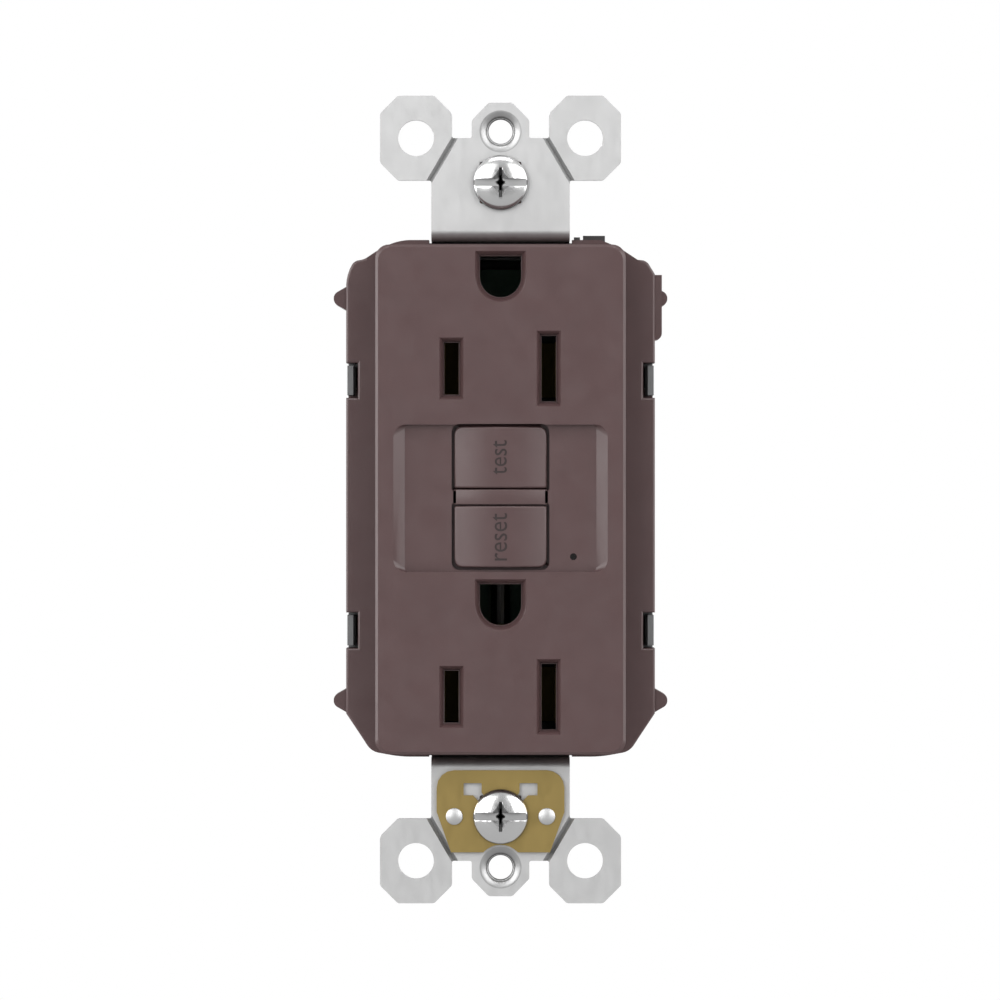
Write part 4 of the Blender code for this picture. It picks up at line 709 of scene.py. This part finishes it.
def make_clip():
    """The clip with the openings beside its screw, and the strap's stakes that hold it."""
    clip = copied("ground_clip")
    for side in (1, -1):
        carve(clip, prism_y(f"clip_link_{side}", [(side * x, z) for x, z in CLIP_LINK], -2.6, -1.2))
    stands_for(soften(clip, 0.05), "ground_clip")
    for name, side in (("left", -1), ("right", 1)):
        stake = lathe("clip_stake_" + name, STAKE, (side * STAKE_X, -DEVICE_SCREW_Z), 32)
        stake.data.shade_smooth()
        dress(stake, "zinc", BODY_OF["mounting_strap"])


CORE_R, ROOT_R, CREST_R = 1.36, 1.33, 1.75
THREAD_PITCH = 0.794


def thread(name, start, end, centre):
    """A helical thread along Y, as one winding surface on a plain core."""
    count = 28
    steps = int((end - start - THREAD_PITCH) / THREAD_PITCH * count)
    points, faces = [], []
    for index in range(steps):
        angle = 2 * math.pi * index / count
        depth = start + THREAD_PITCH * index / count
        for radius, shift in ((ROOT_R, 0.0), (CREST_R, THREAD_PITCH / 2)):
            x, z = centre[0] + radius * math.cos(angle), centre[1] + radius * math.sin(angle)
            points.append((x, depth + shift, z))
    for index in range(steps - 1):
        here, after = 2 * index, 2 * index + 2
        faces.append((here, here + 1, after + 1, after))
        if index + 1 + count < steps:
            round_here, round_after = here + 2 * count, after + 2 * count
            faces.append((here + 1, round_here, round_after, after + 1))
    return from_faces(name, points, faces)


# the end of the part that each screw is on, and the depth of its seat on the strap or on the clip
SCREW_SEATS = {"upper": (1, -1.5), "lower": (-1, -2.2)}
HEAD_R, HEAD_HIGH = 3.6, 1.5
HEAD_RIM = 3.46
SLOT_DEEP, SLOT_HALF_Z = 0.72, 0.5
# one quarter of each outline, from its end on the X axis to the one towards Z
CROSS_QUARTER = ((0.8, 0.2), (0.42, 0.34), (0.28, 0.7), (0.22, 1.95))
FLARE_QUARTER = ((1.6, 0), (1.0, 0.5), (0.55, 1.0), (0.3, 1.6))
# scale of each outline and its depth below the top of the head
CROSS_STEPS = ((1.08, -0.4), (1.0, 0.2), (0.5, 1.3))
FLARE_STEPS = ((1.3, -0.4), (1.0, 0.2), (0.12, 1.05))


def head_cutter(name, quarter, steps, top, centre):
    """A tapering recess in the top of a screw head, with the same outline in all four quarters."""
    lower = [point for point in quarter if point[1] > 0]
    outline = list(quarter) + [(-x, z) for x, z in reversed(quarter)]
    outline += [(-x, -z) for x, z in lower] + [(x, -z) for x, z in reversed(lower)]
    return rings(name, [[(centre[0] + x * scale, top + depth, centre[1] + z * scale) for x, z in outline]
                        for scale, depth in steps])


def make_mounting_screws():
    """Screws with a domed head, a slot with a cross recess and a thread behind the strap."""
    for place, (end, seat) in SCREW_SEATS.items():
        centre = (0, end * DEVICE_SCREW_Z)
        node = f"mounting_screw_{place}"
        dome = [(HEAD_R * math.cos(a), seat - 0.42 - 1.08 * math.sin(a))
                for a in [math.radians(degrees) for degrees in (2, 10, 20, 30, 40, 50, 60, 70, 80, 89)]]
        rim = [(3.42, seat), (3.57, seat - 0.1), (HEAD_R, seat - 0.25)]
        screw = lathe(node + "_shell", rim + dome, centre)
        top = seat - HEAD_HIGH
        slot = box("screw_slot", (-4, top - 1, centre[1] - SLOT_HALF_Z),
                   (4, top + SLOT_DEEP, centre[1] + SLOT_HALF_Z))
        flare = head_cutter("flare", FLARE_QUARTER, FLARE_STEPS, top, centre)
        cross = head_cutter("cross", CROSS_QUARTER, CROSS_STEPS, top, centre)
        screw.data.materials.clear()
        screw.data.materials.append(PAINTS["screw_steel"].made)
        # the slot and flare take a painted shade, the cross recess a darker painted shade
        for cutter, finish in ((slot, GROOVE_AND_SLOT_SHADE), (flare, GROOVE_AND_SLOT_SHADE), (cross, CROSS_SHADE)):
            cutter.data.materials.append(finish.made)
        carve(screw, slot, flare, cross)
        # painted shade: a dark outline round the rim of the head
        tint(screw, THREAD_AND_RIM_SHADE, lambda middle, _: math.hypot(middle.x, middle.z - centre[1]) > HEAD_RIM)
        stands_for(soften(screw, 0.06, angle=40), node)
        shank = [(CORE_R, seat - 0.2), (CORE_R, seat + 24.6), (0.9, seat + 25.4)]
        core = lathe(node + "_core", shank, centre, 32)
        helix = thread(node + "_thread", seat + 0.6, seat + 25.3, centre)
        for extra in (core, helix):
            extra.data.shade_smooth()
            extra.data.set_sharp_from_angle(angle=math.radians(35))
            dress(extra, SLOT_OF[node], BODY_OF[node])


# --------------------------------------------------------- housing, springs, finishes
# the joint that presses each spring, its axis, its fixed end in mm and the part of its length that stays
SPRINGS = {"reset_spring": ("reset_press", (0, 1, 0), (0, 3.67, -4.88), 0.54),
           "plunger_spring": ("plunger_stroke", (0, 0, 1), (0, 16.4, -25.9), 0.55)}


def make_springs():
    """Springs, each copied from its CAD node with a mesh of its own and shaded smooth."""
    for node, (joint, axis, seat, keep) in SPRINGS.items():
        coil = stands_for(copied(node), node)
        coil.data.shade_smooth()
        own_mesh(coil)


def finish_nodes():
    """Give every CAD node the finish of its slot; the contacts get a darker brass instead, painted shade
    for their depth behind the slots.
    """
    for node, piece in NODES.items():
        finish = CONTACT_SHADE if node.startswith(("contact_", "ground_contact_")) else PAINTS[SLOT_OF[node]]
        piece.data.materials.clear()
        piece.data.materials.append(finish.made)


make_cover()
make_buttons()
make_strap()
make_clip()
make_mounting_screws()
stands_for(soften_outside(copied("rear_housing"), 0.18), "rear_housing")
make_springs()
finish_nodes()


# ------------------------------------------------------------ stage, light, camera
# brightness of the surroundings for diffuse light, and in reflections in front, at the sides and overhead
AMBIENT = 0.3
FRONT_WHITE = 0.42
SIDE_WHITE = 0.7
RISE_WHITE = 0.75
FLOOR_R = 0.55
FLOOR_GLOW = 0.55
FLOOR_MIRRORED = 0.6
FLOOR_DROP = 60 * MM
LENS = 300.0
SENSOR = 36.0
FRAME_WIDTH = 131.7 * MM
FRAME_CENTRE = (-0.07 * MM, -0.07 * MM)
# place, width, height and power of each lamp; all are aimed at the middle of the part
LAMPS = {"left_box": ((-0.5, -0.52, 0.24), 0.85, 0.6, 5.1),
         "right_box": ((0.52, -0.5, 0.26), 0.75, 0.58, 3.8),
         "left_rim": ((-0.7, 0.0, 0.0), 0.42, 0.8, 3.4),
         "right_rim": ((0.7, 0.0, 0.0), 0.6, 1.0, 2.9),
         "top_box": ((0.0, -0.32, 0.7), 0.6, 0.2, 2.2)}


def ray_switch(tree, kinds):
    """1 for the kinds of ray named, else 0."""
    path = tree.nodes.new("ShaderNodeLightPath")
    total = path.outputs[kinds[0]]
    for kind in kinds[1:]:
        both = tree.nodes.new("ShaderNodeMath")
        both.operation = "MAXIMUM"
        tree.links.new(total, both.inputs[0])
        tree.links.new(path.outputs[kind], both.inputs[1])
        total = both.outputs[0]
    return total


def make_world():
    """White to the camera and through glass; in reflections it is darkest in front of the part."""
    world = bpy.data.worlds.new("studio")
    bpy.context.scene.world = world
    world.use_nodes = True
    tree = world.node_tree
    tree.nodes.clear()

    def node(kind, **settings):
        made = tree.nodes.new(kind)
        for name, value in settings.items():
            setattr(made, name, value)
        return made

    def background(strength):
        made = node("ShaderNodeBackground")
        made.inputs["Color"].default_value = (1, 1, 1, 1)
        made.inputs["Strength"].default_value = strength
        return made

    direction = node("ShaderNodeTexCoord").outputs["Generated"]
    parts = node("ShaderNodeSeparateXYZ")
    tree.links.new(direction, parts.inputs[0])
    behind = node("ShaderNodeMapRange")
    for name, value in (("From Min", -0.2), ("From Max", 0.2), ("To Min", FRONT_WHITE), ("To Max", 1.0)):
        behind.inputs[name].default_value = value
    tree.links.new(parts.outputs["Y"], behind.inputs["Value"])
    square = node("ShaderNodeVectorMath", operation="MULTIPLY")
    tree.links.new(direction, square.inputs[0])
    tree.links.new(direction, square.inputs[1])
    weights = node("ShaderNodeCombineXYZ")
    weights.inputs["X"].default_value = SIDE_WHITE
    weights.inputs["Z"].default_value = RISE_WHITE
    tree.links.new(behind.outputs["Result"], weights.inputs["Y"])
    level = node("ShaderNodeVectorMath", operation="DOT_PRODUCT")
    tree.links.new(square.outputs[0], level.inputs[0])
    tree.links.new(weights.outputs[0], level.inputs[1])
    mirrored = background(1.0)
    tree.links.new(level.outputs["Value"], mirrored.inputs["Strength"])
    inner = node("ShaderNodeMixShader")
    tree.links.new(ray_switch(tree, ("Is Glossy Ray",)), inner.inputs["Fac"])
    tree.links.new(background(AMBIENT).outputs[0], inner.inputs[1])
    tree.links.new(mirrored.outputs[0], inner.inputs[2])
    outer = node("ShaderNodeMixShader")
    tree.links.new(ray_switch(tree, ("Is Camera Ray", "Is Transmission Ray")), outer.inputs["Fac"])
    tree.links.new(inner.outputs[0], outer.inputs[1])
    tree.links.new(background(1.0).outputs[0], outer.inputs[2])
    tree.links.new(outer.outputs[0], node("ShaderNodeOutputWorld").inputs["Surface"])


def make_floor():
    """A pale floor below the part, white to the camera where no shadow falls."""
    made = bmesh.new()
    bmesh.ops.create_circle(made, cap_ends=True, segments=64, radius=FLOOR_R)
    floor = to_object("floor", made)
    floor.location.z = CAD_LOW.z - FLOOR_DROP
    paint = Paint("floor_paint", (0.8, 0.8, 0.8), 0.9)
    paint.mottle(60 * MM, 0.01)
    tree = paint.tree

    def emission(strength):
        made = tree.nodes.new("ShaderNodeEmission")
        made.inputs["Strength"].default_value = strength
        return made.outputs[0]

    def mixed(kinds, other, seen):
        made = tree.nodes.new("ShaderNodeMixShader")
        tree.links.new(ray_switch(tree, kinds), made.inputs["Fac"])
        tree.links.new(other, made.inputs[1])
        tree.links.new(seen, made.inputs[2])
        return made.outputs[0]

    both = tree.nodes.new("ShaderNodeAddShader")
    tree.links.new(paint.shader.outputs[0], both.inputs[0])
    tree.links.new(emission(FLOOR_GLOW), both.inputs[1])
    shown = mixed(("Is Camera Ray", "Is Transmission Ray"), paint.shader.outputs[0], both.outputs[0])
    shown = mixed(("Is Glossy Ray",), shown, emission(FLOOR_MIRRORED))
    tree.links.new(shown, tree.nodes["Material Output"].inputs["Surface"])
    floor.data.materials.append(paint.made)


def softbox(name, place, width, height, power):
    """A rectangular lamp that is aimed at the middle of the part."""
    data = bpy.data.lights.new(name, "AREA")
    data.shape = "RECTANGLE"
    data.size, data.size_y = width, height
    data.energy = power
    lamp = bpy.data.objects.new(name, data)
    bpy.context.scene.collection.objects.link(lamp)
    lamp.location = place
    lamp.rotation_euler = (Vector() - Vector(place)).to_track_quat("-Z", "Y").to_euler()


def make_camera():
    """A long lens square on to the face."""
    data = bpy.data.cameras.new("camera")
    data.lens = LENS
    data.sensor_width = SENSOR
    camera = bpy.data.objects.new("camera", data)
    bpy.context.scene.collection.objects.link(camera)
    camera.location = (FRAME_CENTRE[0], -FRAME_WIDTH * LENS / SENSOR, FRAME_CENTRE[1])
    camera.rotation_euler = (math.radians(90), 0, 0)
    data.clip_start, data.clip_end = 0.05, 20
    bpy.context.scene.camera = camera


make_world()
make_floor()
make_camera()
for lamp, setting in LAMPS.items():
    softbox(lamp, *setting)
bpy.context.scene.view_settings.view_transform = "Standard"
